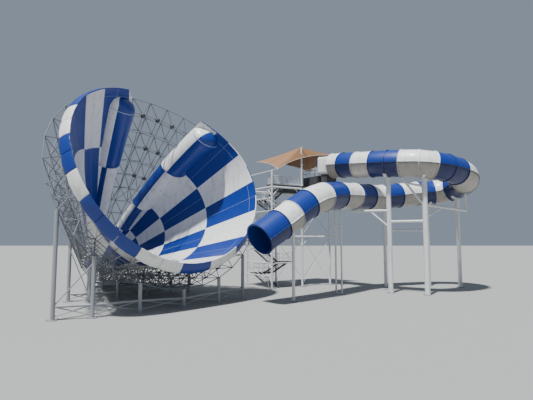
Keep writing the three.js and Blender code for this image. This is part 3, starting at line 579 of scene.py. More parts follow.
# Tube flume. Half shells bolted along both sides make up lengths of closed tube, with a ring flange at each
# joint. The lengths alternate in white and blue from the tower down to the funnel.
tube_radius, tube_wall = 1.5 * metre, 0.09 * metre
route = [Vector(p) * metre for p in (
    (6.75, 2.55, 15.1), (8.0, 1.35, 15.05), (9.3, -0.35, 14.85), (10.85, -2.0, 14.62), (12.5, -3.45, 14.45),
    (14.1, -4.6, 14.3), (15.85, -5.55, 14.12), (17.9, -5.6, 13.85), (20.3, -4.35, 13.55),
    (22.35, -2.35, 13.2), (23.3, 0.3, 12.65), (22.6, 2.55, 12.2), (21.0, 3.35, 11.9), (19.0, 3.25, 11.75),
    (16.7, 2.6, 11.5), (14.9, 1.95, 11.25), (13.1, 1.1, 11.05), (10.6, -0.85, 10.95), (8.25, -3.2, 10.8),
    (6.3, -5.6, 10.55), (4.35, -7.9, 9.95), (2.6, -9.5, 8.85), (0.95, -11.0, 7.55), (-1.3, -12.9, 5.9))]
# stations of the joints along that line, from the inlet box on
tube_joints = (0.8, 1.64, 2.55, 3.5, 4.35, 5.1, 6.0, 6.78, 7.45, 8.2, 9.6, 10.95, 12.05, 13.2, 14.4, 15.7,
               16.6, 17.45, 18.5, 19.5, 20.5, 21.45, 22.17, 23)
tube_paint = "wbwbbwwbbwbwbwbwbwbwbwb"


def on_route(station):
    """Point of the tube's centre line at a station, which may lie between two of its points."""
    station = min(max(station, 0), len(route) - 1)
    i = min(int(station), len(route) - 2)
    part = station - i
    p1, p2 = route[i], route[i + 1]
    p0 = route[i - 1] if i else p1 * 2 - p2
    p3 = route[i + 2] if i + 2 < len(route) else p2 * 2 - p1
    d0, d1, d2 = ((b - a).length ** 0.5 for a, b in ((p0, p1), (p1, p2), (p2, p3)))
    t1 = ((p1 - p0) / d0 - (p2 - p0) / (d0 + d1) + (p2 - p1) / d1) * d1
    t2 = ((p2 - p1) / d1 - (p3 - p1) / (d1 + d2) + (p3 - p2) / d2) * d1
    squared, cubed = p2 * 3 - p1 * 3 - t1 * 2 - t2, p1 * 2 - p2 * 2 + t1 + t2
    return p1 + t1 * part + squared * part ** 2 + cubed * part ** 3


def tube_frame(station):
    last = len(route) - 1
    along = (on_route(min(station + 0.002, last)) - on_route(max(station - 0.002, 0))).normalized()
    side = along.cross(Vector((0, 0, 1))).normalized()
    return on_route(station), along, side, side.cross(along)


def tube_ring(station, radius, count=40, shift=0.0):
    """Points round the tube's centre line, and the direction along it."""
    at, along, side, up = tube_frame(station)
    angles = (2 * math.pi * (i + shift) / count for i in range(count))
    return [at + (side * math.cos(a) + up * math.sin(a)) * radius for a in angles], along


lengths = []
for colour, a, b in zip(tube_paint, tube_joints, tube_joints[1:]):
    if lengths and lengths[-1][0] == colour:
        lengths[-1][1].append(b)
    else:
        lengths.append([colour, [a, b]])
# the lower halves are painted darker than the upper ones: painted shade under the tube
blue_painted_shade = weathered("blue_gel_coat_painted_shade", (0.001, 0.012, 0.10), 0.03, 0.3, 0.3, coat=0.1)
white_painted_shade = weathered("white_gel_coat_painted_shade", (0.40, 0.37, 0.32), 0.1, 0.4, 0.35, coat=0.05)
flange = 0.04
tube_bolts, tube_gaskets_and_shadows = [], []
for number, (colour, joints) in enumerate(lengths):
    stops = []
    for a, b in zip(joints, joints[1:]):
        half = 0.026 * (b - a) / (on_route(a) - on_route(b)).length
        stops += [(a, flange), (a + half, flange), (a + half * 1.01, 0)]
        stops += [(a + (b - a) * i / 8, 0) for i in range(1, 8)]
        stops += [(b - half * 1.01, 0), (b - half, flange), (b, flange)]
    if number:
        stops[0] = (joints[0] + 0.0005, flange)
    rings = [tube_ring(station, tube_radius + proud)[0] for station, proud in stops]
    rings += [tube_ring(station, tube_radius - tube_wall)[0] for station, _ in reversed(stops)]
    points, faces = wrapped(rings)
    steps = len(rings[0])
    # faces of the lower half of each ring take the darker copy, which paints the shade there
    paints = [1 if k % steps >= steps / 2 and k < steps * len(stops) else 0 for k in range(len(faces))]
    # the flanges of the two half shells, along both sides
    seam = []
    for way in (-1, 1):
        line = []
        span = joints[-1] - joints[0]
        steps = round(11 * span)
        for i in range(steps + 1):
            at, along, side, up = tube_frame(joints[0] + 0.03 + (span - 0.06) * i / steps)
            line.append((at + side * way * tube_radius, side * way))
            if i % 2:
                tube_bolts.append((at + side * way * (tube_radius + 0.025), up))
        seam.append(line)
        # the gasket, and a painted shadow of the flange: the dark strip reaches below it
        tube_gaskets_and_shadows.append([(p + normal * 0.001 - Vector((0, 0, 0.03)), normal) for p, normal in line])
    more, sides = strips(seam, 0.03, -0.004, 0.045)
    faces += [tuple(v + len(points) for v in face) for face in sides]
    points += more
    paints += [0] * len(sides)
    slot, pair = (("fibreglass_blue", [blue_gel, blue_painted_shade]) if colour == "b"
                  else ("fibreglass_white", [white_gel, white_painted_shade]))
    label = f"{number + 1:02d}"
    shell_piece(f"tube_shell_{label}", (points, faces, paints), pair, [f"tube_{label}"])
for joint in tube_joints[1:-1]:
    ring, along = tube_ring(joint, tube_radius + 0.024, 28, 0.5)
    tube_bolts += [(p, along) for p in ring]
new_piece("tube_bolts", bolted("tube_bolts", tube_bolts, 0.009, 0.068, zinc))
# its near-black stands for the gasket and also paints the flange's shadow
gasket_and_shadow_paint = weathered("black_gasket_and_painted_shadow", (0.03, 0.033, 0.04), 0.1, 0.3, 0.7)
shell_piece("tube_gaskets_and_painted_shadow", strips(tube_gaskets_and_shadows, 0.034, -0.006, 0.03), [gasket_and_shadow_paint])

# Space-frame cage. Two layers of round bars on ball joints, tied by diagonals, stand round the whole cone
# and carry it. Short brackets hold the wall's flanges.
bars_tree, bars_sockets = node_tree("steel_bars", "Sides")
t_in, t_out, to_curve, thick, sweep, paint, real, circle = (bars_tree.nodes.new(kind) for kind in (
    "NodeGroupInput", "NodeGroupOutput", "GeometryNodeMeshToCurve", "GeometryNodeSetCurveRadius",
    "GeometryNodeCurveToMesh", "GeometryNodeSetMaterial", "GeometryNodeRealizeInstances",
    "GeometryNodeCurvePrimitiveCircle"))
girth = named_value(bars_tree, "girth", "FLOAT")
circle.inputs["Radius"].default_value = 1.0
sweep.inputs["Fill Caps"].default_value = True
wired(
    bars_tree, (t_in.outputs["Geometry"], to_curve.inputs["Mesh"]),
    (to_curve.outputs[0], thick.inputs["Curve"]), (girth, thick.inputs["Radius"]),
    (thick.outputs[0], sweep.inputs["Curve"]), (girth, sweep.inputs["Scale"]),
    (t_in.outputs["Sides"], circle.inputs["Resolution"]), (circle.outputs[0], sweep.inputs["Profile Curve"]),
    (sweep.outputs[0], real.inputs[0]), (real.outputs[0], paint.inputs["Geometry"]),
    (t_in.outputs["Material"], paint.inputs["Material"]), (paint.outputs[0], t_out.inputs["Geometry"]))


def with_girths(name, points, edges, girths):
    mesh = bpy.data.meshes.new(name)
    mesh.from_pydata([tuple(p) for p in points], edges, [])
    mesh.attributes.new("girth", "FLOAT", "POINT").data.foreach_set("value", girths)
    return mesh


def barred(name, bars, sides, material):
    """Round bars, each from its two ends and its radius, in model metres."""
    ends = [p for a, b, _ in bars for p in (a, b)]
    edges = [(2 * i, 2 * i + 1) for i in range(len(bars))]
    mesh = with_girths(name, ends, edges, [r for _, _, r in bars for _ in "ab"])
    return grown(name, mesh, bars_tree, bars_sockets, Sides=sides, Material=material)


cage_grey = weathered("galvanised_bars", (0.13, 0.145, 0.17), 0.15, 0.3, 0.5)
dark_ball = weathered("dark_ball_joints", (0.02, 0.022, 0.03), 0.1, 0.2, 0.45)
inner_layer, outer_layer = (0.5, 1.05), (1.45, 2.15)  # metres above the wall at the first and the last ring
bar_radius = 0.042 * metre
rows = 10  # bays along the slant
cage_start, cage_run = 0.2, 0.73  # shares of the slant
cage_bars, balls = [], []


def cage_share(row):
    return cage_start + cage_run * row / rows


def on_layer(degrees, share, layer):
    """Point of a layer of the cage, which flares away from the wall towards the mouth."""
    reach = slant(math.radians(degrees), share) / cone_long
    height = layer[0] + (layer[1] - layer[0]) * (reach - cage_start) / cage_run
    return on_wall(degrees, share, height * metre)


def cage_ring(row, outer):
    """Nodes of one ring: the inner layer's stand half a bay on from the outer layer's."""
    modules = 32 if row >= 4 else 16
    if outer:
        return [on_layer(360 * k / modules, cage_share(row), outer_layer) for k in range(modules)]
    return [on_layer(360 * (k + 0.5) / modules, cage_share(row + 0.5), inner_layer) for k in range(modules)]


inner_radius, bracket_radius = bar_radius * 0.9, bar_radius * 0.8
outer_rings = [cage_ring(row, True) for row in range(rows + 1)]
inner_rings = [cage_ring(row, False) for row in range(rows)]
for row, ring in enumerate(outer_rings):
    n = len(ring)
    cage_bars += [(ring[k], ring[(k + 1) % n], bar_radius) for k in range(n)]
    balls += [(p, 0.031) for p in ring]
    if row < rows:
        ahead = outer_rings[row + 1]
        ratio = len(ahead) // n
        cage_bars += [(p, ahead[k * ratio], bar_radius) for k, p in enumerate(ring)]
        if ratio == 2:
            cage_bars += [(p, ahead[(2 * k + d) % len(ahead)], bar_radius)
                          for k, p in enumerate(ring) for d in (1, -1)]
for row, ring in enumerate(inner_rings):
    n = len(ring)
    cage_bars += [(ring[k], ring[(k + 1) % n], inner_radius) for k in range(n)]
    balls += [(p, 0.035) for p in ring]
    if row + 1 < rows:
        ahead = inner_rings[row + 1]
        ratio = len(ahead) // n
        for k, p in enumerate(ring):
            for d in range(ratio):
                cage_bars.append((p, ahead[k * ratio + d], inner_radius))
    low, high = outer_rings[row], outer_rings[row + 1]
    step = len(high) // n
    for k, p in enumerate(ring):
        ends = low[k], low[(k + 1) % n], high[k * step], high[((k + 1) * step) % len(high)]
        cage_bars += [(p, q, inner_radius) for q in ends]
        degrees, share = 360 * (k + 0.5) / n, cage_share(row + 0.5)
        if right_edge(share) < degrees < left_edge(share):
            cage_bars.append((p, on_wall(degrees, share, wall + 0.02), bracket_radius))
mesh = barred("cage_bars", cage_bars, 6, cage_grey)
new_piece("cage_bars", mesh, [f"cage_sector_{i}" for i in range(1, 9)], sharp=50)

# ball joints: a small faceted ball on every node of the cage
ball_tree, ball_sockets, t_in, ball, on_points = scatter_tree("balls", "GeometryNodeMeshIcoSphere", ())
ball.inputs["Subdivisions"].default_value = 2
ball.inputs["Radius"].default_value = 1.0
wired(ball_tree, (named_value(ball_tree, "girth", "FLOAT"), on_points.inputs["Scale"]))


def balls_on(name, places, material):
    mesh = with_girths(name, [p for p, _ in places], [], [r for _, r in places])
    return grown(name, mesh, ball_tree, ball_sockets, Material=material)


new_piece("cage_joints", balls_on("cage_joints", balls, cage_grey), sharp=60)
# dark round fittings that hang below seven nodes of the inner layer
hubs = [(inner_rings[row][k] - Vector((0, 0, 0.05)), 0.13)
        for row, k in ((9, 31), (9, 0), (9, 1), (7, 0), (7, 1), (5, 0), (5, 1))]
new_piece("cage_hubs", balls_on("cage_hubs", hubs, dark_ball), sharp=60)

# Trestles under the cage. Upright steel pipes on base plates, tied by beams and braced crosswise.
white_steel = weathered("white_paint", (0.74, 0.75, 0.74), 0.1, 0.28, 0.38)
grey_steel = weathered("grey_paint", (0.30, 0.32, 0.34), 0.15, 0.3, 0.42, metallic=0.2)
foot_bolts = []


def base_plate(x, y, wide=0.7 * metre, degrees=0.0):
    """A square plate on the floor with four anchor bolts."""
    spin = Matrix.Rotation(math.radians(degrees), 3, "Z")
    for i, j in ((-1, -1), (1, -1), (1, 1), (-1, 1)):
        corner = spin @ Vector((i * wide * 0.38, j * wide * 0.38, 0))
        foot_bolts.append((Vector((x, y, 0.04)) + corner, Vector((0, 0, 1))))
    return ((x, y, 0.015), (wide, wide, 0.03), degrees)


plates, legs = [], []
brace_radius = 0.045 * metre
for row, radius, first in ((10, 0.16, 0), (6, 0.16, 0), (2, 0.14, 1)):
    heads = [on_layer(k * sector, cage_share(row), outer_layer) for k in (-5, -6, -7, 8, 7, 6)[first:]]
    for p in heads:
        legs.append((Vector((p.x, p.y, 0.02)), p, radius * metre))
        plates.append(base_plate(p.x, p.y))
    deepest = heads[3 - first].z * 0.62
    ties = [Vector((p.x, p.y, min(p.z * 0.5, deepest))) for p in heads]
    for i, (a, b) in enumerate(zip(ties, ties[1:])):
        p, q = heads[i], heads[i + 1]
        legs.append((a, b, 0.1 * metre))
        legs += [(Vector((r.x, r.y, 0.12)), tie, brace_radius) for r, tie in ((p, b), (q, a))]
        if p.z > 2.2 and q.z > 2.2:
            legs += [(tie, Vector((r.x, r.y, r.z - 0.25)), brace_radius) for tie, r in ((a, q), (b, p))]
mesh = barred("trestle_steel", legs, 12, grey_steel)
new_piece("trestle_steel", mesh, ["trestle_1", "trestle_2", "trestle_3"], sharp=50)

# Columns under the tube. Thick white pipes on base plates. Each ends in a cradle that holds a joint of the
# tube, and beams and props tie them.
def level(p, z):
    return Vector((p.x, p.y, z * metre))


def under_tube(joint, drop=1.5):
    """Point below a joint of the tube, or below its centre line at a station."""
    at = on_route(joint)
    return Vector((at.x, at.y, at.z - drop * metre))


column_bars, cradles = [], []


def column(joint, radius, wide=0.7 * metre):
    top = under_tube(joint, 1.55)
    column_bars.append((Vector((top.x, top.y, 0.02)), top, radius * metre))
    column_bars.append((top - Vector((0, 0, 0.10)), top - Vector((0, 0, 0.04)), radius * metre * 1.35))
    plates.append(base_plate(top.x, top.y, wide))
    return top


def cradle(joint, reach=38):
    at, along, side, up = tube_frame(joint)
    line = []
    for i in range(17):
        a = math.radians(-90 - reach + 2 * reach * i / 16)
        normal = side * math.cos(a) + up * math.sin(a)
        line.append((at + normal * tube_radius, normal))
    cradles.append(line)


main_a, main_b = column(4.35, 0.26), column(6.3, 0.28)
far_a, far_b = column(12.5, 0.2), column(15.5, 0.2)
column(10.5, 0.24)
column(21.4, 0.15)
at, along, side, up = tube_frame(18.5)
twins = [at + side * k * metre for k in (-0.35, 0.35)]
for p in twins:
    column_bars.append((Vector((p.x, p.y, 0.02)), Vector((p.x, p.y, p.z - 1.5 * metre)), 0.1 * metre))
plates.append(base_plate(at.x, at.y, 1.3 * metre))
column_bars.append((level(twins[0], 7.5), level(twins[1], 7.5), 0.06 * metre))
for joint in (4.35, 6.3, 12.5, 15.5, 10.5, 21.4, 18.5):
    cradle(joint)
middle = main_b.lerp(under_tube(9.6), 0.45)
halfway = main_a.lerp(under_tube(17.6), 0.5)
column_bars += [
    (level(main_a, 7.85), level(main_b, 7.85), 0.14 * metre),
    (under_tube(5.1, 1.55), level(main_b, 9.4), 0.12 * metre),
    (level(on_route(5.1), 12.2), level(main_b, 11.6), 0.12 * metre),
    (level(main_b, 9.6), under_tube(9.6, 3.6), 0.14 * metre),
    (under_tube(9.6, 3.6), under_tube(9.6, 1.55), 0.12 * metre),
    (level(main_b, 8.2), level(middle, 9.6), 0.1 * metre),
    (level(main_a, 9.1), level(on_route(17.6), 9.1), 0.14 * metre),
    (level(main_a, 7.2), level(halfway, 9.1), 0.1 * metre),
    (level(far_a, 7.0), level(far_b, 7.0), 0.12 * metre),
]
mesh = barred("tube_columns", column_bars, 20, white_steel)
new_piece("tube_columns", mesh,
          ["main_columns", "far_columns", "bend_column", "twin_columns", "near_column"], sharp=50)
shell_piece("tube_cradles", strips(cradles, 0.16, 0.002, 0.07), [white_steel])

# Launch tower frame. Round posts with beams between them, knee braces under the deck and rods crosswise.
tower_turn = 32
platform_z, long, deep, deck_thick = 12.6, 9.0, 6.0, 0.22


def plan(u, v, z=0.0):
    """u runs along the front edge and v to the back, from the near corner post, in real metres."""
    a = math.radians(tower_turn)
    return Vector((u * math.cos(a) - v * math.sin(a), u * math.sin(a) + v * math.cos(a), z)) * metre


eaves = platform_z - deck_thick - 0.131
tower_bars = []
for u, v in ((0, 0), (4.5, 0), (long, 0), (0, deep), (4.5, deep), (long, deep)):
    top = 14.3 if u == 0 and v == 0 else platform_z - deck_thick
    tower_bars.append((plan(u, v, 0.04), plan(u, v, top), 0.125 * metre))
    plates.append(base_plate(*plan(u, v).xy, degrees=tower_turn))
rise = platform_z / 8
for z in (eaves, 6.2):
    tower_bars += [(plan(0, v, z), plan(long, v, z), 0.12 * metre) for v in (0, deep)]
tower_bars += [(plan(u, 0, eaves), plan(u, deep, eaves), 0.12 * metre) for u in (0, long)]
for k in range(1, 8):
    z = rise * k - 0.14
    tower_bars += [(plan(0, 0, z), plan(0, deep, z), 0.07 * metre)]
    v = 0.1 if k % 2 == 0 else deep - 0.1
    tower_bars += [(plan(0, v, z), plan(3.4, v, z), 0.06 * metre),
                   (plan(0, 0, z - 0.75), plan(0, 0.85, z), 0.045 * metre)]
for u, v, du, dv in ((0, 0, 1, 0), (0, 0, 0, 1), (4.5, 0, -1, 0), (4.5, 0, 1, 0), (long, 0, -1, 0),
                     (0, deep, 0, -1)):
    for z in (eaves, 6.2) if dv == 0 else (eaves,):
        tower_bars.append((plan(u, v, z - 1.15), plan(u + du * 1.1, v + dv * 1.1, z), 0.055 * metre))
# beams and props under the part of the deck that carries the inlet box
for u, post in ((6.1, 4.5), (8.5, long)):
    tower_bars += [(plan(u, 0, eaves), plan(u, -2.7, eaves), 0.12 * metre),
                   (plan(post, 0, 10), plan(u, -2.5, eaves), 0.08 * metre)]
for a, b in (((4.5, 0), (long, 0)), ((4.5, deep), (long, deep)), ((long, 0), (long, deep))):
    for low, high in ((0.3, 6.1), (6.3, eaves - 0.2)):
        tower_bars += [(plan(*a, z), plan(*b, low + high - z), 0.022 * metre) for z in (low, high)]
tower_bars.append((plan(0, 0, 14.22), plan(0, deep, 14.22), 0.07 * metre))
tower_bars.append((plan(0, deep, platform_z - 0.1), plan(0, deep, 14.25), 0.07 * metre))
mesh = barred("tower_steel", tower_bars, 14, white_steel)
new_piece("tower_steel", mesh, ["tower_frame"], sharp=50)
shell_piece("base_plates", boxes(plates), [grey_steel])
new_piece("anchor_bolts", bolted("anchor_bolts", foot_bolts, 0.018, 0.05, zinc))

# Platform deck. Planks of non-slip board on joists, with a steel channel round the edge.
plank_tree, plank_sockets, t_in, board, on_points = scatter_tree(
    "planks", "GeometryNodeMeshCube", (), "Length", "Width", "Thickness", "Turn")
sizes, angles = (plank_tree.nodes.new("ShaderNodeCombineXYZ") for _ in range(2))
wired(
    plank_tree, (t_in.outputs["Width"], sizes.inputs["X"]), (t_in.outputs["Length"], sizes.inputs["Y"]),
    (t_in.outputs["Thickness"], sizes.inputs["Z"]), (sizes.outputs[0], board.inputs["Size"]),
    (t_in.outputs["Turn"], angles.inputs["Z"]), (angles.outputs[0], on_points.inputs["Rotation"]))


def planked(name, places, length, width, thickness, material):
    """Boards with their middles at the places, square to the tower."""
    mesh = bpy.data.meshes.new(name)
    mesh.from_pydata([tuple(p) for p in places], [], [])
    return grown(name, mesh, plank_tree, plank_sockets, Length=length, Width=width, Thickness=thickness,
                 Turn=math.radians(tower_turn), Material=material)


deck_board = weathered("deck_board", (0.07, 0.07, 0.068), 0.15, 0.4, 0.7, bump=0.003)
# this paint is darker than the steel's own dark grey: partly its real colour, partly painted shade under the
# deck and stairs
dark_steel_and_shade = weathered("dark_paint_and_painted_shade", (0.035, 0.038, 0.045), 0.08, 0.2, 0.45)
board_wide = 0.2
apron_left, apron_right, apron_front = 5.9, 8.7, -2.9


def boarded(name, u, v0, v1, z, count, nodes=()):
    """A row of boards with their tops at z, which run from v0 to v1, the first with its edge at u."""
    spots = [plan(u + board_wide * (i + 0.5), (v0 + v1) / 2, z - 0.025) for i in range(count)]
    mesh = planked(name, spots, (v1 - v0) * metre, (board_wide - 0.012) * metre, 0.05 * metre, deck_board)
    new_piece(name, mesh, nodes)


boarded("deck_boards", 3.35, 0, deep, platform_z, int((long - 3.35) / board_wide), ["tower_platform"])
boarded("landing_boards", 0, 0.005, 1.195, platform_z, 16)
boarded("inlet_boards", apron_left, apron_front + 0.005, -0.005, platform_z, 14)


def slab(u0, u1, v0, v1, z0, z1):
    return (plan((u0 + u1) / 2, (v0 + v1) / 2, (z0 + z1) / 2),
            ((u1 - u0) * metre, (v1 - v0) * metre, (z1 - z0) * metre), tower_turn)


low = platform_z - deck_thick
# the channels round the edges of the deck and of the part under the inlet box, then the joists between them
fascia = [slab(*edges, low, platform_z) for edges in (
    (0.14, apron_left, 0, 0.05), (apron_right, long, 0, 0.05), (3.35, long, deep - 0.05, deep),
    (long - 0.05, long, 0, deep), (3.35, 3.4, 1.2, deep), (0, 0.05, 0.14, 1.199), (0, 3.4, 1.15, 1.199),
    (apron_left, apron_left + 0.05, apron_front, 0.05), (apron_right - 0.05, apron_right, apron_front, 0.05),
    (apron_left, apron_right, apron_front, apron_front + 0.05))]
fascia += [slab(3.4, long - 0.05, v, v + 0.07, low, platform_z - 0.05) for v in (1.0, 2.0, 3.0, 4.0, 5.0)]
fascia += [slab(apron_left + 0.05, apron_right - 0.05, v, v + 0.07, low, platform_z - 0.05)
           for v in (-1.0, -2.0)]
shell_piece("deck_channels", boxes(fascia), [dark_steel_and_shade])

# Stairs. Eight flights with two landings between each pair, of folded steel treads between plate stringers.
lanes = [(0.25, 1.6), (1.85, 3.2)]
landing = 1.2
treads, stringers, landings, stair_rails = [], [], [], []
steps = 9
for flight in range(8):
    upward = flight % 2 == 0
    u0, u1 = lanes[0 if upward else 1]
    v_from, v_to = (landing, deep - landing) if upward else (deep - landing, landing)
    z0, z1 = rise * flight, rise * (flight + 1)
    for i in range(steps):
        share = (i + 0.5) / steps
        tread_z = z0 + (z1 - z0) * (i + 1) / steps - 0.02
        treads.append(plan((u0 + u1) / 2, v_from + (v_to - v_from) * share, tread_z))
    for u in (u0 + 0.02, u1 - 0.02):
        a, b = plan(u, v_from, max(z0, 0.24) - 0.12), plan(u, v_to, z1 - 0.12)
        stringers.append([(a, Vector((0, 0, 1))), (b, Vector((0, 0, 1)))])
        for h in (0.55, 1.05):
            stair_rails.append((plan(u, v_from, z0 + h), plan(u, v_to, z1 + h), 0.024 * metre))
        for i in range(4):
            v, z = v_from + (v_to - v_from) * i / 3, z0 + (z1 - z0) * i / 3
            if z + 1.05 < platform_z + 1.2:
                stair_rails.append((plan(u, v, max(z - 0.02, 0)), plan(u, v, z + 1.05), 0.024 * metre))
    if flight < 7:
        v = (deep - landing - 0.02, deep - 0.2) if upward else (0.2, landing + 0.02)
        landings.append(slab(0.25, 3.2, v[0], v[1], z1 - 0.08, z1))
        landings += [slab(*edges, z1 - 0.2, z1) for edges in (
            (0.25, 3.2, v[0], v[0] + 0.05), (0.25, 3.2, v[1] - 0.05, v[1]), (0.25, 0.3, v[0], v[1]),
            (3.15, 3.2, v[0], v[1]))]
        end = v[1] - 0.03 if upward else v[0] + 0.03
        for h in (0.55, 1.05):
            stair_rails.append((plan(0.27, end, z1 + h), plan(3.18, end, z1 + h), 0.024 * metre))
            for u in (0.27, 3.18):
                stair_rails.append((plan(u, v[0], z1 + h), plan(u, v[1], z1 + h), 0.024 * metre))
        for u in (0.27, 1.7, 3.18):
            stair_rails.append((plan(u, end, z1 - 0.02), plan(u, end, z1 + 1.05), 0.024 * metre))
mesh = planked("stair_treads", treads, 0.33 * metre, 1.31 * metre, 0.04 * metre, dark_steel_and_shade)
new_piece("stair_treads", mesh, ["stairs"])
shell_piece("stair_stringers", strips(stringers, 0.02, -0.055, 0.065), [dark_steel_and_shade])
shell_piece("stair_landings", boxes(landings), [dark_steel_and_shade])
rail_steel = weathered("rail_steel", (0.70, 0.72, 0.74), 0.1, 0.25, 0.4)
new_piece("stair_rails", barred("stair_rails", stair_rails, 8, rail_steel), sharp=50)

# Guard rails. Round posts and two rails with thin balusters between them, along the open sides of the
# platform.
guards = {"guard_rail_front": [((4.2, 0.2), (0.2, 0.2)), ((0.2, 0.2), (0.2, 1.1))],
          "guard_rail_back": [((8.9, 0.3), (8.9, 5.9)), ((8.9, 5.9), (3.45, 5.9))]}


def railing(runs, z, rail_heights, bars):
    """Rails along the runs, and for each kind of upright in bars its pitch, radius, foot and head."""
    rails = []
    for p, q in runs:
        rails += [(plan(*p, z + h), plan(*q, z + h), 0.032 * metre) for h in rail_heights]
        for pitch, radius, low, high in bars:
            count = max(1, round(math.dist(p, q) / pitch))
            for i in range(count + 1):
                u, v = (p[j] + (q[j] - p[j]) * i / count for j in (0, 1))
                rails.append((plan(u, v, z + low), plan(u, v, z + high), radius * metre))
    return rails


for name, runs in guards.items():
    rails = railing(runs, platform_z, (1.1, 0.14), ((1.4, 0.045, 0, 1.1), (0.14, 0.02, 0.14, 1.1)))
    new_piece(name, barred(name + "_bars", rails, 8, rail_steel), [name], sharp=50)

# Inlet box. A white moulded hood with a rolled edge that leads from the deck into the first tube length.
at, along, side, up = tube_frame(tube_joints[0])
box_long, box_wide, box_high, skin = 1.5 * metre, 2.5 * metre, 2.3 * metre, 0.1 * metre


def hood_ring(reach, wide, high, corner=0.16):
    """Rounded rectangle across the tube's axis."""
    ring = []
    for cx, cy, start in ((1, 1, 0), (-1, 1, 90), (-1, -1, 180), (1, -1, 270)):
        for i in range(5):
            a = math.radians(start + 22.5 * i)
            x = cx * (wide / 2 - corner) + corner * math.cos(a)
            y = cy * (high / 2 - corner) + corner * math.sin(a)
            ring.append(at + along * reach + side * x + up * y)
    return ring


outside = [(-box_long, -0.004), (-box_long, 0.0), (-box_long + 0.04, 0.0), (-box_long + 0.045, -0.02),
           (-0.05, -0.02), (-0.045, 0.0), (-0.002, 0.0)]
rings = [hood_ring(x, box_wide + 2 * d, box_high + 2 * d) for x, d in outside]
rings += [hood_ring(x, box_wide - 2 * skin, box_high - 2 * skin) for x in (-0.002, -box_long)]
points, faces = wrapped(rings)
inside_face = len(rings[0]) * (len(rings) - 2)
paints = [1 if inside_face <= k < inside_face + len(rings[0]) else 0 for k in range(len(faces))]
shell_piece("inlet_hood", (points, faces, paints), [white_gel, blue_gel], ["inlet_box"])
foot_at = at - along * (box_long / 2)
top = at.z - box_high / 2 + skin / 2
deck_top = platform_z * metre
heading = math.degrees(math.atan2(along.y, along.x))
plinth = ((foot_at.x, foot_at.y, (top + deck_top) / 2), (box_long * 0.6, box_wide * 0.8, top - deck_top))
shell_piece("inlet_plinth", boxes([(*plinth, heading)]), [dark_steel_and_shade])
frame_front, frame_back = -box_long - 0.16, -box_long + 0.02
rings = [hood_ring(x, box_wide - d, box_high - d) for x, d in (
    (frame_front, 0.16), (frame_back, 0.16), (frame_back, 0.2), (frame_front, 0.2))]
# the frame takes the dark blue that also paints the shade on the tube's lower halves
shell_piece("inlet_frame", wrapped(rings), [blue_painted_shade])

# Start landing. A raised step-up in front of the inlet box: boards on a frame with dark sheet sides, steps at
# its back and a rail round its open sides. It stands on the platform deck.
landing_left, landing_right, landing_front, landing_back, landing_z = 5.95, 8.55, -1.3, 1.6, 13.88
step_left, step_right, step_deep, risers = 6.6, 7.9, 0.25, 7
landing_sides = [slab(u, u + 0.05, landing_front, landing_back, platform_z, landing_z - 0.05)
                 for u in (landing_left, landing_right - 0.05)]
landing_sides += [slab(landing_left + 0.05, landing_right - 0.05, v, v + 0.05, platform_z, landing_z - 0.05)
                  for v in (landing_front, landing_back - 0.05)]
riser = (landing_z - platform_z) / risers
for i in range(risers - 1):
    v, z = landing_back + step_deep * i, landing_z - riser * (i + 1)
    landing_sides.append(slab(step_left, step_right, v, v + step_deep, platform_z, z))
shell_piece("landing_sides", boxes(landing_sides), [dark_steel_and_shade])
boarded("start_boards", landing_left, landing_front, landing_back, landing_z, 13)
runs = [((landing_left, landing_front), (landing_left, landing_back)),
        ((landing_left, landing_back), (step_left, landing_back)),
        ((step_right, landing_back), (landing_right, landing_back)),
        ((landing_right, landing_back), (landing_right, landing_front + 0.6))]
rails = railing(runs, landing_z, (1.0, 0.5), ((1.4, 0.04, 0, 1.0),))
new_piece("landing_rails", barred("landing_rails", rails, 8, rail_steel), sharp=50)

# Canopy. One tan membrane, stretched from a peak on a steel mast to four corners, with a cable in each edge.
peak = Vector((3.75, 2.6, 17.7)) * metre
corners = [Vector(c) * metre
           for c in ((0.7, 0.2, 14.45), (9.1, 4.6, 16.9), (5.6, 9.0, 15.4), (-1.9, 2.6, 15.75))]
drawn_in = (0.72, 0.25, 0.25, 0.16)
per_edge, hoops = 16, 18
rim = []
for i, c in enumerate(corners):
    d = corners[(i + 1) % 4]
    middle = c.lerp(d, 0.5).lerp(peak, drawn_in[i])
    for k in range(per_edge):
        f = k / per_edge
        rim.append(c * (1 - f) ** 2 + middle * 2 * f * (1 - f) + d * f * f)


def membrane(f, k):
    """Point at a share f of the way from the peak to the rim's point k."""
    p = peak.lerp(rim[k % len(rim)], f)
    p.z -= 0.07 * math.sin(math.pi * f ** 0.8) * (0.6 + 0.4 * math.cos(2 * math.pi * k / per_edge))
    return p


points = [membrane(0.02 + 0.98 * h / hoops, k) for h in range(hoops + 1) for k in range(len(rim))]
n = len(rim)
faces = [(h * n + k, h * n + (k + 1) % n, (h + 1) * n + (k + 1) % n, (h + 1) * n + k)
         for h in range(hoops) for k in range(n)]
faces.append(tuple(range(n))[::-1])
cloth = bpy.data.meshes.new("canopy_sheet")
cloth.from_pydata([tuple(p) for p in points], [], faces)
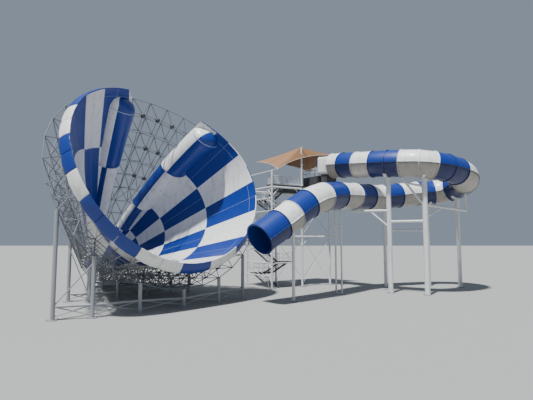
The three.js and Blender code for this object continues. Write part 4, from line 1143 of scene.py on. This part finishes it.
# in this map u grows by 1 along each edge of the rim, and v is the share of the way from the peak to the rim
weave_map = cloth.uv_layers.new(name="cut")
for polygon in cloth.polygons:
    columns = [cloth.loops[i].vertex_index % n for i in polygon.loop_indices]
    for loop, k in zip(polygon.loop_indices, columns):
        h = cloth.loops[loop].vertex_index // n
        turn_over = n if k == 0 and n - 1 in columns else 0
        weave_map.data[loop].uv = ((k + turn_over) / per_edge, h / hoops)
tan = bpy.data.materials.new("tan_membrane_painted_shade")
tan.use_nodes = True
nodes = tan.node_tree.nodes
shader = nodes["Principled BSDF"]
shader.inputs["Roughness"].default_value = 0.75
shader.inputs["Sheen Weight"].default_value = 0.15
uv, seams, ramp, tint = (nodes.new("ShaderNode" + kind) for kind in ("UVMap", "TexWave", "ValToRGB", "Mix"))
cloth_place, weave, bump = (nodes.new("ShaderNode" + kind) for kind in ("TexCoord", "TexVoronoi", "Bump"))
stain, stain_mix = (nodes.new("ShaderNode" + kind) for kind in ("TexNoise", "Mix"))
uv.uv_map = "cut"
seams.wave_type, seams.bands_direction = "BANDS", "X"
seams.inputs["Scale"].default_value = 0.6366
ramp.color_ramp.elements[0].position, ramp.color_ramp.elements[1].position = 0.0, 0.04
ramp.color_ramp.elements[0].color, ramp.color_ramp.elements[1].color = (1, 1, 1, 1), (0, 0, 0, 1)
tint.data_type = "RGBA"
# the two tints are painted darker and more orange than tan cloth: painted shade of the underside, with light
# shining through it
tint.inputs["A"].default_value = (0.34, 0.165, 0.065, 1)
tint.inputs["B"].default_value = (0.22, 0.105, 0.04, 1)
weave.inputs["Scale"].default_value = 220
bump.inputs["Distance"].default_value = 0.0008
stain.inputs["Scale"].default_value = 1.3
stain_mix.data_type, stain_mix.blend_type = "RGBA", "MULTIPLY"
stain_mix.inputs["Factor"].default_value = 0.25
wired(
    tan.node_tree, (uv.outputs[0], seams.inputs["Vector"]), (seams.outputs["Fac"], ramp.inputs[0]),
    (ramp.outputs[0], tint.inputs["Factor"]), (cloth_place.outputs["Object"], weave.inputs["Vector"]),
    (weave.outputs["Distance"], bump.inputs["Height"]), (bump.outputs[0], shader.inputs["Normal"]),
    (cloth_place.outputs["Object"], stain.inputs["Vector"]), (tint.outputs["Result"], stain_mix.inputs["A"]),
    (stain.outputs["Color"], stain_mix.inputs["B"]),
    (stain_mix.outputs["Result"], shader.inputs["Base Color"]))
cloth.materials.append(tan)
sail = placed("canopy_sheet", cloth)
thickness = sail.modifiers.new("thickness", "SOLIDIFY")
thickness.thickness, thickness.offset = 0.008, 0
canopy = new_piece("canopy_sheet", frozen(sail), ["canopy"], sharp=60)
edge_cables = [(rim[k], rim[(k + 1) % n], 0.022 * metre) for k in range(n)]
new_piece("canopy_cables", barred("canopy_cables", edge_cables, 8, rail_steel), sharp=60)
mast_top = Vector((*plan(4.5, 0).xy, 17.63 * metre))
stays = [(plan(4.5, 0, platform_z), mast_top, 0.11 * metre),
         (plan(4.5, 0, platform_z), plan(4.5, 0, platform_z + 0.12), 0.2 * metre),
         (plan(4.5, 0, 15.2), plan(4.5, 0, 15.4), 0.15 * metre)]
mesh = barred("mast_steel", stays, 20, white_steel)
new_piece("mast_steel", mesh, ["canopy_mast"], sharp=50)
stays = [(plan(0, 0, 14.3), corners[0], 0.03 * metre)]
new_piece("canopy_ties", barred("canopy_ties", stays, 10, rail_steel), sharp=50)

# Floor and light: a pale floor, a broad sun from the upper left and an even pale sky.
floor = placed("floor", bpy.data.meshes.new("floor"))
floor.data.from_pydata([(x, y, -0.002) for x, y in ((-150, -150), (150, -150), (150, 150), (-150, 150))], [],
                       [(0, 1, 2, 3)])
pale = bpy.data.materials.new("pale_floor")
pale.use_nodes = True
pale.node_tree.nodes["Principled BSDF"].inputs["Base Color"].default_value = (0.34, 0.34, 0.33, 1)
pale.node_tree.nodes["Principled BSDF"].inputs["Roughness"].default_value = 0.9
floor.data.materials.append(pale)
sun = placed("sun", bpy.data.lights.new("sun", "SUN"))
sun.data.energy = 6.4
sun.data.angle = math.radians(3)
sun.rotation_euler = Vector((-0.20, -0.30, 0.93)).to_track_quat("Z", "Y").to_euler()
sky = bpy.data.worlds.new("sky")
sky.use_nodes = True
sky.node_tree.nodes["Background"].inputs["Color"].default_value = (0.62, 0.74, 0.92, 1)
sky.node_tree.nodes["Background"].inputs["Strength"].default_value = 0.38
bpy.context.scene.world = sky
